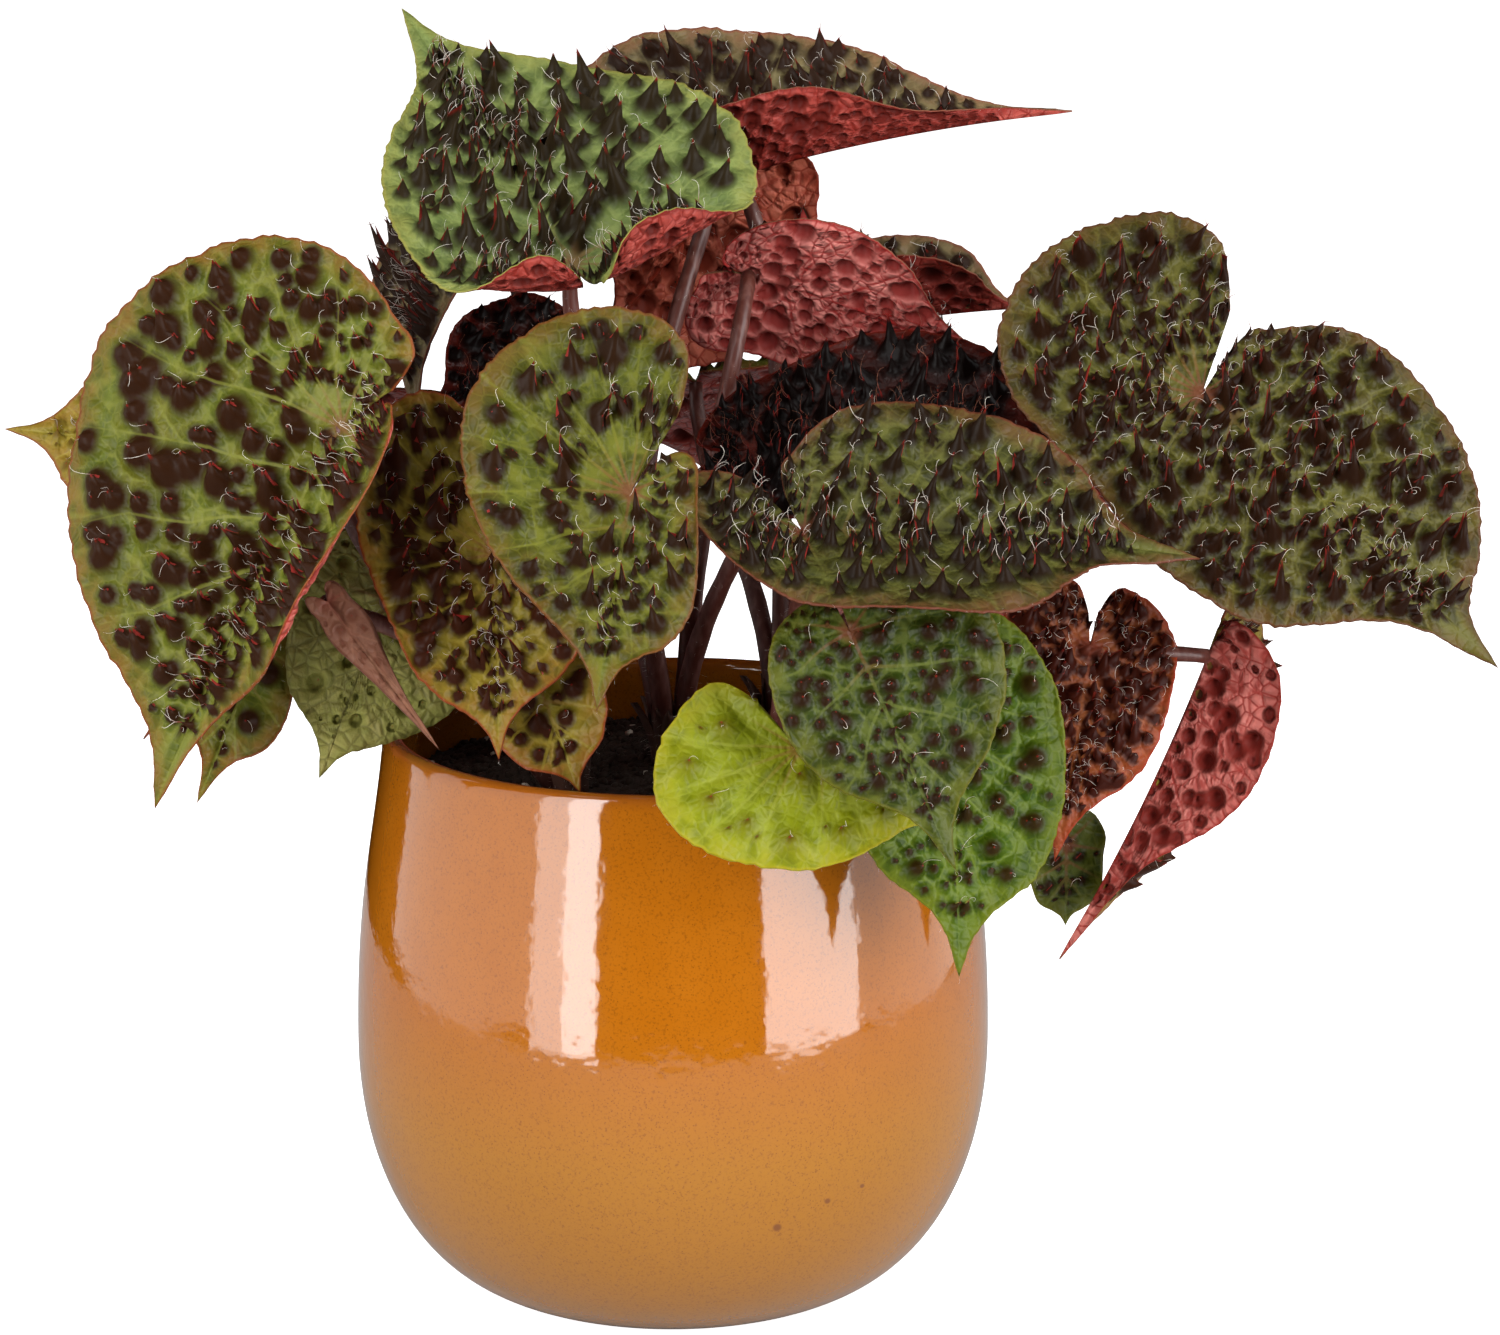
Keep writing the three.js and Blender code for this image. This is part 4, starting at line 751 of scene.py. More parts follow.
class Sheet:
    """The curved sheet of a blade: at() gives the points of the sheet for points of the flat leaf, whose x
    runs ahead of the hub and whose out runs to its own side of the midrib. Half 0 is the left one."""

    def __init__(self, leaf):
        self.leaf = leaf
        self.hub = np.array(leaf["hub"], float)
        chord = np.array(leaf["tip"], float) - self.hub
        self.ahead = unit(chord)
        face = np.array(leaf["face"], float)
        self.up = unit(face - self.ahead * (face @ self.ahead))
        self.left = np.cross(self.up, self.ahead)
        self.reach = [leaf["left"][0], leaf["right"][0]]
        self.radii = [leaf["left"][1:], leaf["right"][1:]]
        self.trace_midrib(np.linalg.norm(chord))
        self.arcs = [self.measure_outline(half) for half in (0, 1)]
        self.pinnate, self.rings = leaf["size"]
        self.sectors = [self.pinnate + self.fan(half) for half in (0, 1)]

    def pitch(self, share):
        """The midrib's slope in radians at a share of its length."""
        back = np.clip(-share / self.leaf["lobe_turn"], 0, 1)
        return np.radians(self.leaf["bend"] * (0.5 - np.maximum(0, share)) + self.leaf["lobes"] * back)

    def trace_midrib(self, chord_length):
        """Walks the midrib in its own plane, from behind the hub to a little past the tip."""
        places = np.arange(MIDRIB_STEPS + MIDRIB_PAST) + 0.5
        walks = []
        for sign in (-1, 1):
            slopes = self.pitch(sign * places / MIDRIB_STEPS)
            x = np.concatenate([[0], np.cumsum(sign * np.cos(slopes) / MIDRIB_STEPS)])
            z = np.concatenate([[0], np.cumsum(sign * np.sin(slopes) / MIDRIB_STEPS)])
            walks.append((x, z))
        (back_x, back_z), (front_x, front_z) = walks
        reach = MIDRIB_STEPS + MIDRIB_PAST
        self.shares = np.arange(-reach, reach + 1) / MIDRIB_STEPS
        self.walk_x = np.concatenate([back_x[:0:-1], front_x])
        self.walk_z = np.concatenate([back_z[:0:-1], front_z])
        self.tilt = math.atan2(front_z[MIDRIB_STEPS], front_x[MIDRIB_STEPS])
        self.length = chord_length / math.hypot(front_x[MIDRIB_STEPS], front_z[MIDRIB_STEPS])

    def outline(self, half, q, length):
        """Points of a half's flat outline at shares of its turning angle, for a midrib of this length."""
        angle = np.radians(q * self.reach[half])
        r = half_radius(q, self.radii[half]) * length
        return r * np.cos(angle), r * np.sin(angle)

    def measure_outline(self, half):
        """The outline's length so far, as a share of the midrib, at even steps of its turning angle."""
        x, out = self.outline(half, np.linspace(0, 1, OUTLINE_STEPS + 1), 1)
        return np.concatenate([[0], np.cumsum(np.hypot(np.diff(x), np.diff(out)))])

    def turn_share(self, half):
        """The share of a half's outline that lies ahead of the side veins' last turn."""
        sums = self.arcs[half]
        q = min(0.9, VEIN_TURN_DEG / self.reach[half])
        return sums[int(q * OUTLINE_STEPS + 0.5)] / sums[-1]

    def fan(self, half):
        """How many veins fan out from the hub round the basal lobe."""
        turn = self.turn_share(half)
        return min(MOST_FAN_VEINS, max(1, int(self.pinnate * (1 - turn) / turn + 0.5)))

    def vein_end(self, half, k):
        """Where vein k of a half ends on the flat leaf's outline."""
        turn = self.turn_share(half)
        fanned = turn + (1 - turn) * (k - self.pinnate) / self.fan(half)
        along = np.where(k <= self.pinnate, turn * k / self.pinnate, fanned)
        sums = self.arcs[half]
        q = np.interp(along * sums[-1], sums, np.linspace(0, 1, OUTLINE_STEPS + 1))
        return self.outline(half, q, self.length)

    def at(self, half, x, out):
        """Points of the sheet for flat points."""
        share = x / self.length
        px = np.interp(share, self.shares, self.walk_x) * self.length
        pz = np.interp(share, self.shares, self.walk_z) * self.length
        c, s = math.cos(-self.tilt), math.sin(-self.tilt)
        rib_x, rib_z = px * c - pz * s, px * s + pz * c
        slope = self.pitch(share) - self.tilt
        angle = np.degrees(np.arctan2(np.maximum(out, 0), x))
        flattened = 1 - FOLD_FADE_SHARE * smooth(angle, *FOLD_FADE_DEG)
        fold = math.radians(self.leaf["fold"][half]) * flattened
        curl = math.radians(self.leaf["curl"][half]) / (self.radii[half][1] * self.length)
        across, rise = out * np.cos(fold), out * np.sin(fold)
        if abs(curl) > 1e-6:
            turned = fold + curl * np.maximum(out, 0)
            across = np.where(out > 0, (np.sin(turned) - np.sin(fold)) / curl, across)
            rise = np.where(out > 0, (np.cos(fold) - np.cos(turned)) / curl, rise)
        side = 1 if half == 0 else -1
        ahead = (rib_x - rise * np.sin(slope))[..., None] * self.ahead
        lift = (rib_z + rise * np.cos(slope))[..., None] * self.up
        return self.hub + ahead + (side * across)[..., None] * self.left + lift

    def normal(self, half, x, out):
        """The upper face's direction at flat points; on the midrib both halves are averaged."""
        step = NORMAL_STEP

        def one(h):
            o = np.maximum(out, step / 2)
            along_x = self.at(h, x + step, o) - self.at(h, x - step, o)
            along_out = self.at(h, x, o + step) - self.at(h, x, o - step / 2)
            return unit(np.cross(along_x, along_out) * (1 if h == 0 else -1))

        own = one(half)
        return np.where((out > step)[..., None], own, unit(own + one(1 - half)))


class Blade:
    """A blade's fine net of points: for each half a grid over veins (k) and rings, the cones that stand in
    its cells, and the lift of the upper face over the plain sheet."""

    def __init__(self, leaf):
        self.leaf = leaf
        self.sheet = Sheet(leaf)
        sheet = self.sheet
        outline = min(sheet.arcs[h][-1] * sheet.length / sheet.sectors[h] for h in (0, 1))
        across = 0.62 * sheet.length * MARGIN_START / sheet.rings
        self.per_k = 2 * int(np.clip(round(outline / MESH_STEP / 2), 2, 7))
        self.per_ring = 2 * int(np.clip(round(across / MESH_STEP / 2), 2, 9))
        self.grids = [self.grid(half) for half in (0, 1)]
        self.cones = [self.place_cones(half) for half in (0, 1)]

    def grid(self, half):
        """Flat places of a half's grid points, with each point's k and ring."""
        sheet, seed, rings = self.sheet, self.leaf["seed"], self.sheet.rings
        sectors = sheet.sectors[half]
        inside = np.linspace(0, rings, rings * self.per_ring + 1)
        strip = rings + np.linspace(0, 1, MARGIN_STEPS + 1)[1:]
        k_line = np.linspace(0, sectors, sectors * self.per_k + 1)
        k, ring = np.meshgrid(k_line, np.concatenate([inside, strip]), indexing="ij")
        nodes_k, nodes_j = np.meshgrid(np.arange(sectors + 1), np.arange(rings + 2), indexing="ij")
        inner = (nodes_j > 0) & (nodes_j < rings) & (nodes_k > 0) & (nodes_k < sectors)
        a = np.clip(np.floor(k).astype(int), 0, sectors - 1)
        b = np.clip(np.floor(ring).astype(int), 0, rings)
        u, v = k - a, ring - b

        def nudge(salt):
            known = NET_JITTER * (scatter(seed + salt, nodes_k * 7 + half, nodes_j) - 0.5) * inner
            low = known[a, b] * (1 - u) + known[a + 1, b] * u
            high = known[a, b + 1] * (1 - u) + known[a + 1, b + 1] * u
            return low * (1 - v) + high * v

        start = TIP_MARGIN_START + (MARGIN_START - TIP_MARGIN_START) * smooth(k, 0, 1)
        s_inside = start * (ring + nudge(9)) / rings
        s_strip = start + (1 - start) * (ring - rings)
        share = np.where(ring > rings, s_strip, s_inside)
        tooth = k * TEETH_PER_VEIN
        teeth = np.abs(tooth % 1 - 0.5) * 1.4 + 0.9 * scatter(seed + 5, np.floor(tooth), half)
        share = share * (1 + SERRATION_SHARE * (teeth - 0.8) * smooth(ring, rings, rings + 1))
        hub_line = HUB_LINE * sheet.length * np.maximum(0, 1 - k / sheet.pinnate)
        end_x, end_out = sheet.vein_end(half, k + nudge(0))
        return dict(k=k, ring=ring, x=hub_line + (end_x - hub_line) * share, out=end_out * share)

    def place_cones(self, half):
        """The cones of a half, each on a grid point: flat place, foot radius, height and share of full size.
        Each cell holds one tall cone near its middle and a few small ones near its corners."""
        sheet, leaf, grid = self.sheet, self.leaf, self.grids[half]
        seed, nk, nj = leaf["seed"], self.per_k, self.per_ring
        nodes = [np.stack([g["x"][::nk, :], g["out"][::nk, :]], -1) for g in self.grids]
        nodes = [np.concatenate([n[:, : sheet.rings * nj + 1 : nj], n[:, -1:]], 1) for n in nodes]
        spots = [sheet.at(h, n[..., 0], n[..., 1]).reshape(-1, 3) for h, n in enumerate(nodes)]
        spots = np.concatenate(spots)
        usual_share = SMALL_CONE_SHARE + 0.4 * (leaf["crowd"] - 0.5)
        made = []

        def grid_place(k, j, u, v):
            spot = (k * nk + round(u * nk), j * nj + round(v * nj))
            return grid["x"][spot], grid["out"][spot]

        for k in range(sheet.sectors[half]):
            for j in range(sheet.rings):
                if j == 0 and k >= sheet.pinnate:
                    continue
                a, b = nodes[half][k, j], nodes[half][k, j + 1]
                c, d = nodes[half][k + 1, j + 1], nodes[half][k + 1, j]
                middle = (a + b + c + d) / 4
                size = math.sqrt(abs((c[0] - a[0]) * (d[1] - b[1]) - (d[0] - b[0]) * (c[1] - a[1])) / 2)
                gap = spots - sheet.at(half, *middle)
                above = gap @ sheet.normal(half, *middle)
                room = np.min(np.where(above > 1e-6, (gap**2).sum(1) / np.maximum(2 * above, 1e-6), 1e9))
                roll = 0.8 + 0.4 * scatter(seed + 3, k * 3 + half, j)
                height = min(
                    leaf["cone"] * roll * (1 - CONE_RING_TAPER * j / sheet.rings),
                    CONE_CELL_SHARE * size * roll,
                    max(0, CONE_ROOM_SHARE * room - BLADE_THICKNESS),
                )
                taller = height * (1 + SPIKE_GAIN * (1 - leaf["dome"]))
                height = min(taller, max(0, SPIKE_ROOM_SHARE * room - BLADE_THICKNESS))
                width = CONE_FOOT_SHARE * size * (0.8 + 0.35 * scatter(seed + 90, k, j + half))
                u = 0.5 + CONE_WANDER * (2 * scatter(seed + 60, k * 3 + half, j) - 1)
                v = 0.5 + CONE_WANDER * (2 * scatter(seed + 80, j * 3 + half, k) - 1)
                made.append((*grid_place(k, j, u, v), width, height, 1.0))
                for corner in range(4):
                    if scatter(seed + 20 + corner, k * 5 + half, j) > leaf["crowd"]:
                        continue
                    u = 0.2 + 0.6 * (corner % 2) + 0.2 * (scatter(seed + corner, k, j) - 0.5)
                    v = 0.2 + 0.6 * (corner // 2) + 0.2 * (scatter(seed + corner, j, k + 50) - 0.5)
                    share = usual_share * (0.7 + 0.5 * scatter(seed + 40 + corner, k, j))
                    made.append((*grid_place(k, j, u, v), width * share, height * share * 0.8, share))
        return np.array(made)

    def relief(self, half):
        """For each grid point: the height of the cones over the sheet, how near it is to a cone's tip (0-1),
        which lays the cones' brown on the upper face and painted shade in the hollows on the underside, the
        millimetres to the crease between its cone's puffed patch and the next one's, and how far the
        cone leans there, upwards as the light draws it and a little to its own side."""
        grid, cones = self.grids[half], self.cones[half]
        away = np.hypot(grid["x"][..., None] - cones[:, 0], grid["out"][..., None] - cones[:, 1])
        near = np.clip(1 - away / np.maximum(cones[:, 2], SMALLEST_FOOT), 0, 1)
        bulb = 0.5 * (1 - np.cos(math.pi * near))
        spike = np.clip((near - 1 + SPIKE_RADIUS_SHARE) / SPIKE_RADIUS_SHARE, 0, 1) ** 1.6
        spiky = SPIKE_SHARE * (1 - 0.5 * self.leaf["dome"])
        heights = ((1 - spiky) * bulb + spiky * spike) * cones[:, 3]
        patches = np.sort(away - 0.6 * cones[:, 2], axis=-1)
        crease = (patches[..., 1] - patches[..., 0]) / 2
        stain_and_shade_radius = np.maximum(CONE_STAIN_AND_SHADE_SHARE * cones[:, 2], SMALLEST_FOOT)
        stain_and_shade = np.clip(1 - away / stain_and_shade_radius, 0, 1).max(-1)
        tallest = heights.argmax(-1)
        bend = heights.max(-1) * np.take_along_axis(near, tallest[..., None], -1)[..., 0]
        return heights.max(-1), stain_and_shade, crease, self.leans(half)[tallest] * bend[..., None]

    def leans(self, half):
        """How far each cone of a half leans at its tip, as a share of its height."""
        turn = 2 * math.pi * scatter(self.leaf["seed"] + 70, np.arange(len(self.cones[half])), half)
        lean = CONE_LEAN_SPREAD * np.stack([np.cos(turn), np.zeros_like(turn), np.sin(turn)], -1)
        return lean + [0, 0, CONE_LEAN]

    def vein_gap(self, half):
        """Millimetres from each grid point to the nearest side vein or the midrib."""
        k, x, out = (self.grids[half][part] for part in ("k", "x", "out"))
        step = np.hypot(np.gradient(x, axis=0), np.gradient(out, axis=0)) * self.per_k
        to_midrib = np.where(x > 0, np.abs(out), np.hypot(x, out))
        return np.minimum(np.abs(k - np.round(k)) * step, to_midrib)


def new_mesh(name, corners, faces):
    """A mesh of these corners and faces."""
    data = bpy.data.meshes.new(name)
    data.from_pydata(corners, [], faces)
    return data


def blade_mesh(leaf, materials):
    """Builds a blade's closed mesh: upper face, underside and the rim between them."""
    blade = Blade(leaf)
    sheet = blade.sheet
    tops, bottoms, flats, ids, marks = [], [], [], [], {}
    count = 0
    for half, side in ((0, 1), (1, -1)):
        k, ring, x, out = (blade.grids[half][part] for part in ("k", "ring", "x", "out"))
        heights, stain_and_shade, crease, lean = blade.relief(half)
        gap = blade.vein_gap(half)
        to_edge = np.hypot(x - x[:, -1:], out - out[:, -1:])
        valley = smooth(gap, 0, VEIN_VALLEY_WIDTH) * smooth(to_edge, 0, VALLEY_EDGE_WIDTH)
        puff = PUFF_HEIGHT * smooth(np.minimum(gap, crease), 0, PUFF_WIDTH) * smooth(to_edge, 0, EDGE_WIDTH)
        lift = (heights + puff) * valley
        wave = leaf["wave"] * np.sin(k * 2.1 + leaf["seed"] + 2 * half)
        wave = wave * smooth(ring, sheet.rings - 0.4, sheet.rings + 1) * smooth(k, 0, 1)
        thin = EDGE_THICKNESS + (BLADE_THICKNESS - EDGE_THICKNESS) * smooth(to_edge, 0, EDGE_WIDTH)
        point, normal = sheet.at(half, x, out), sheet.normal(half, x, out)
        point = point + level(lean, normal) * valley[..., None]
        tops.append((point + normal * (thin / 2 + lift + wave)[..., None]).reshape(-1, 3))
        bottoms.append((point + normal * (-thin / 2 + PIT_SHARE * lift + wave)[..., None]).reshape(-1, 3))
        flats.append(np.stack([x, side * out], -1).reshape(-1, 2))
        outward = ring / (sheet.rings + 1)
        for label, values in dict(cone=stain_and_shade, vein=gap, crease=crease, edge=to_edge, outward=outward).items():
            marks.setdefault(label, []).append(values.ravel())
        own = np.arange(k.size).reshape(k.shape) + count
        count += k.size
        ids.append(own)
        # The halves share the midrib's points, and the lobes' inner ends all meet in the hub
        hub_column = sheet.pinnate * blade.per_k
        if half == 1:
            own[0, :] = ids[0][0, :]
            own[: hub_column + 1, 0] = ids[0][: hub_column + 1, 0]
        own[hub_column:, 0] = ids[0][hub_column, 0]
    faces = []
    for half, own in enumerate(ids):
        a, b, c, d = own[:-1, :-1], own[:-1, 1:], own[1:, 1:], own[1:, :-1]
        faces.append(np.stack([a, b, c, d] if half == 0 else [a, d, c, b], -1).reshape(-1, 4))
    upper = np.concatenate(faces)
    lower = upper[:, ::-1] + count
    rim = np.array([*ids[1][:0:-1, -1], *ids[0][:-1, -1], *ids[0][-1, :0:-1], *ids[1][-1, :-1]])
    after = np.roll(rim, -1)
    around = np.stack([after, rim, rim + count, after + count], -1)
    polygons = [list(dict.fromkeys(f)) for f in np.concatenate([upper, lower, around]).tolist()]
    kinds = [0] * len(upper) + [1] * len(lower) + [0] * len(around)
    kept = [i for i, f in enumerate(polygons) if len(f) > 2]
    used = sorted({v for i in kept for v in polygons[i]})
    place_of = {v: i for i, v in enumerate(used)}
    points = np.concatenate([*tops, *bottoms])[used] * MM
    data = new_mesh(leaf["name"], points.tolist(), [[place_of[v] for v in polygons[i]] for i in kept])
    for material in materials:
        data.materials.append(material)
    data.polygons.foreach_set("material_index", [kinds[i] for i in kept])
    for label, values in marks.items():
        both = np.tile(np.concatenate(values), 2)[used]
        data.attributes.new(label, "FLOAT", "POINT").data.foreach_set("value", both)
    flat = np.tile(np.concatenate(flats), (2, 1))[used] / FLAT_UNIT
    loops = np.empty(len(data.loops), int)
    data.loops.foreach_get("vertex_index", loops)
    data.uv_layers.new(name="flat_leaf").data.foreach_set("uv", flat[loops].ravel())
    data.update()
    return data, blade


def leaf_material(
    name, field, cone, vein, margin, clear, cover_start, net_size, net_strength, creases, roughness,
):
    """Living leaf tissue: a mottled field with painted shade in the hollows of its puckers, paler or darker
    along its creases and veinlets, cones that darken towards their middle with a brown halo and painted
    shade at their feet, or hollows painted dark with shade, both red at the point, and a thin coloured
    margin. Half glossy."""
    light = tinted(field, clear, LIGHT_SHARE)
    hub = tinted(field, linear(HUB_RED), HUB_SHARE)
    halo = tinted(field, cone, HALO_SHARE)
    warm = tinted(field, margin, WARM_SHARE)
    painted_shade = tinted(field, (0, 0, 0, 1), PAINTED_SHADE_SHARE)
    material, tree = new_material(name)

    def soft(value, start, end, low, high):
        return ramp(tree, value, start, end, low, high, "SMOOTHSTEP")

    def blend(share, first, second):
        return mixed(tree, share, first, second)

    def mark(label):
        return add_node(tree, "ShaderNodeAttribute", attribute_name=label).outputs["Fac"]

    def plus(a, b):
        return maths(tree, "ADD", a, b)

    def times(a, b):
        return maths(tree, "MULTIPLY", a, b)

    # The field: mottled light and dark, the dark being painted shade in the hollows of the puckers, with warm
    # flushes, paler near the veins
    flat = add_node(tree, "ShaderNodeUVMap", uv_map="flat_leaf").outputs[0]
    mottle = noise(tree, flat, 5.0 / FLAT_UNIT, 5)
    fine = noise(tree, flat, 0.8 / FLAT_UNIT, 3)
    broad = noise(tree, flat, 16.0 / FLAT_UNIT, 2)
    colour = blend(plus(soft(mark("vein"), 0.2, 2.6, 0.5, 0), soft(mottle, 0.4, 0.7, 0, 0.6)), field, light)
    colour = blend(soft(broad, 0.4, 0.62, 0, 0.7), colour, warm)
    # Painted shade: the field darkens where the mottle is low, in the hollows of the puckers that the same
    # mottle bumps
    colour = blend(soft(mottle, 0.32, 0.58, 0.7, 0), colour, painted_shade)
    # The net of veinlets and creases, and the blotches near the margin
    cells = add_node(
        tree, "ShaderNodeTexVoronoi", {"Vector": flat, "Scale": FLAT_UNIT / net_size},
        voronoi_dimensions="2D", feature="DISTANCE_TO_EDGE",
    ).outputs[0]
    veinlets = soft(cells, 0.02, 0.12, net_strength, 0)
    net = maths(tree, "MAXIMUM", veinlets, soft(mark("crease"), 0.1, 0.55, creases, 0))
    colour = blend(net, colour, vein)
    blotch = times(soft(mark("edge"), 1.0, 9.0, 1, 0), soft(mottle, 0.3, 0.65, 0.1, 0.5))
    colour = blend(blotch, colour, margin)
    # The cones or hollows, with a halo round each and a red point. On the upper face the halo is the cones'
    # brown with painted shade at their feet; on the underside the halo and the dark hollows are painted shade
    soft_cone = plus(mark("cone"), times(maths(tree, "SUBTRACT", mottle, 0.5), 0.25))
    colour = blend(soft(soft_cone, 0.0, cover_start + 0.2, 0, 0.8), colour, halo)
    cover = soft(soft_cone, cover_start + 0.05, cover_start + 0.42, 0, 0.97)
    colour = blend(cover, colour, cone)
    colour = blend(soft(mark("cone"), 0.9, 1.0, 0, 0.7), colour, linear(CONE_TIP_RED))
    # The ribs, red near the hub, and the margin
    over = maths(tree, "DIVIDE", mark("vein"), soft(mark("outward"), 0.0, 1.0, 0.36, 0.18))
    strength = soft(mark("outward"), 0.1, 0.9, 0.75, 0.15)
    reach = add_node(tree, "ShaderNodeVectorMath", {0: flat}, operation="LENGTH").outputs["Value"]
    rib = blend(soft(reach, 0.02, 0.16, 0.9, 0), vein, hub)
    colour = blend(times(soft(over, 0.5, 1.6, 1, 0), strength), colour, rib)
    colour = blend(soft(mark("edge"), 0.15, 0.9, 0.9, 0), colour, margin)
    colour = blend(soft(reach, 0.01, 0.035, 0.75, 0), colour, hub)
    # The skin between the cones is puckered, and the cones shine less
    puckers = plus(soft(cells, 0.0, 0.3, 0, 1), times(fine, 0.5))
    puckers = plus(puckers, times(mottle, 3.0))
    puckers = plus(puckers, soft(mark("crease"), 0, 1.6, 0, 3.0))
    puckers = times(puckers, maths(tree, "SUBTRACT", 1.0, cover))
    add_surface(tree, {
        "Base Color": colour, "Roughness": roughness, "IOR": 1.42,
        "Normal": bumped(tree, puckers, 0.3 * MM, net_strength + 0.2),
        "Specular IOR Level": soft(cover, 0, 1, 0.22, 0.1),
    })
    return material


uppers, unders = {}, {}
for name, (*colours, cover_start) in UPPER_COLOURS.items():
    field, cone, margin, clear = (linear(c) for c in colours)
    colours = (field, cone, tinted(field, clear, VEIN_SHARE), margin, clear)
    uppers[name] = leaf_material("leaf_top_" + name, *colours, cover_start, **UPPER_SKIN)
for name, (*colours, cover_start) in UNDER_COLOURS.items():
    # On the undersides the hollow colour takes the cones' place: painted shade in each hollow
    field, hollow, net = (linear(c) for c in colours)
    colours = (field, hollow, net, net, linear(UNDER_BLUSH))
    unders[name] = leaf_material("leaf_underside_" + name, *colours, cover_start, **UNDER_SKIN)
blades = {}
for leaf in LEAVES:
    node = leaf["name"] if leaf["name"] == "strip_dried" else "blade_" + leaf["name"]
    data, blade = blade_mesh(leaf, [uppers[leaf["upper"]], unders[leaf["under"]]])
    piece = new_object("leaf_" + leaf["name"], data)
    blades[leaf["name"]] = blade
    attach(piece, "root")
    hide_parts(node)

# Shoots
# Each shoot is a stub of creeping rhizome, knobbly with old leaf scars and dried brown stipules, with the
# petioles of its own leaves: red-brown, juicy, round stalks that climb and bend over to the blades' hubs.
# Places and sizes are in millimetres.
RHIZOMES = {
    "front_left": (-24, -22),
    "front_right": (24, -24),
    "centre": (0, 4),
    "back_left": (-26, 26),
    "back_right": (26, 26),
}
RHIZOME_RADIUS = 6
RHIZOME_FOOT = 92
RHIZOME_TOP = 134
RHIZOME_STEPS = 24
RHIZOME_SIDES = 20
SCAR_HEIGHT = 128
SCAR_END_HEIGHT = 145
PETIOLE_FOOT_HEIGHT = 130
PETIOLE_FOOT_RADIUS = 2.45
PETIOLE_END_RADIUS = 1.75
PETIOLE_SIDES = 14
PETIOLE_STEPS = 30
STIPULE_LENGTH = 15
STIPULE_WIDTH = 3.2
STIPULE_HOLLOW = 1.6
STIPULE_THICKNESS_HALF = 0.12
STIPULE_ROWS = 9
STIPULE_COLUMNS = 5
# How far round its petiole each of the two stipules stands, in radians
STIPULE_TURNS = (-0.9, 0.8)
STALK_RED = 0x54281F
STALK_LIGHT = 0x7A5148
STALK_SCAR = 0x2C1611
STIPULE_BROWN = 0x5C3826


def tube(line, radii, sides):
    """Corners and faces of a closed round tube along a line of points, its ends drawn in to a point."""
    heading = unit(np.gradient(line, axis=0))
    side = unit(np.cross(heading[0], [0.3, 0.5, 0.1]))
    turns = np.linspace(0, 2 * math.pi, sides, endpoint=False)[:, None]
    corners, faces = [line[0]], []
    for i, ahead in enumerate(heading):
        side = unit(side - ahead * (side @ ahead))
        ring = np.cos(turns) * side + np.sin(turns) * np.cross(ahead, side)
        corners.extend(line[i] + radii[i] * ring)
    corners.append(line[-1])
    last = len(corners) - 1
    for s in range(sides):
        t = (s + 1) % sides
        faces.append((0, 1 + t, 1 + s))
        for i in range(len(line) - 1):
            a, b = 1 + i * sides, 1 + (i + 1) * sides
            faces.append((a + s, a + t, b + t, b + s))
        faces.append((last, last - sides + s, last - sides + t))
    return np.array(corners), faces


def petiole_line(blade, foot, steps):
    """The middle line of a petiole, from its rhizome to the underside of its blade's hub."""
    hub, bow = blade.sheet.hub, np.array(blade.leaf["bow"], float)
    zero = np.zeros(1)
    normal = blade.sheet.normal(0, zero, zero)[0]
    start = np.array([*foot, PETIOLE_FOOT_HEIGHT], float)
    away = hub - start
    away[2] = 0
    reach = np.linalg.norm(away)
    away = away / reach
    start = start + 2 * away
    rise = start + away * reach * 0.15 + [0, 0, (hub[2] - start[2]) * 0.45 + 10] + bow
    below = hub - normal * min(30, 0.35 * np.linalg.norm(hub - start)) + bow
    return bezier(start - [0, 0, 4], rise, below, hub - BLADE_THICKNESS / 2 * normal, steps)


def stipule(root, out, lean):
    """A dried stipule: a thin, hollowed, pointed scale that stands at a petiole's foot."""
    rows, columns = STIPULE_ROWS, STIPULE_COLUMNS
    out = np.array([*out, 0.0])
    side = np.array([-out[1], out[0], 0.0])
    corners = []
    for face in (1, -1):
        for row in np.linspace(0, 1, rows):
            width = STIPULE_WIDTH * (math.sin(math.pi * min(1, 0.25 + 0.75 * row)) + 0.04)
            for across in np.linspace(-1, 1, columns):
                hollow = STIPULE_HOLLOW * across * across
                away = out * (lean * row * row * 6 - hollow + STIPULE_THICKNESS_HALF * face)
                corners.append(root + side * across * width + away + [0, 0, STIPULE_LENGTH * row])
    count = rows * columns
    faces = []
    for r in range(rows - 1):
        for c in range(columns - 1):
            a = r * columns + c
            quad = (a, a + 1, a + columns + 1, a + columns)
            faces += [quad, tuple(count + v for v in reversed(quad))]
    grid = np.arange(count).reshape(rows, columns)
    loop = [*grid[0], *grid[1:, -1], *grid[-1, -2::-1], *grid[-2:0:-1, 0]]
    loop = [int(v) for v in loop]
    for v, w in zip(loop, [*loop[1:], loop[0]]):
        faces.append((w, v, v + count, w + count))
    return np.array(corners), faces


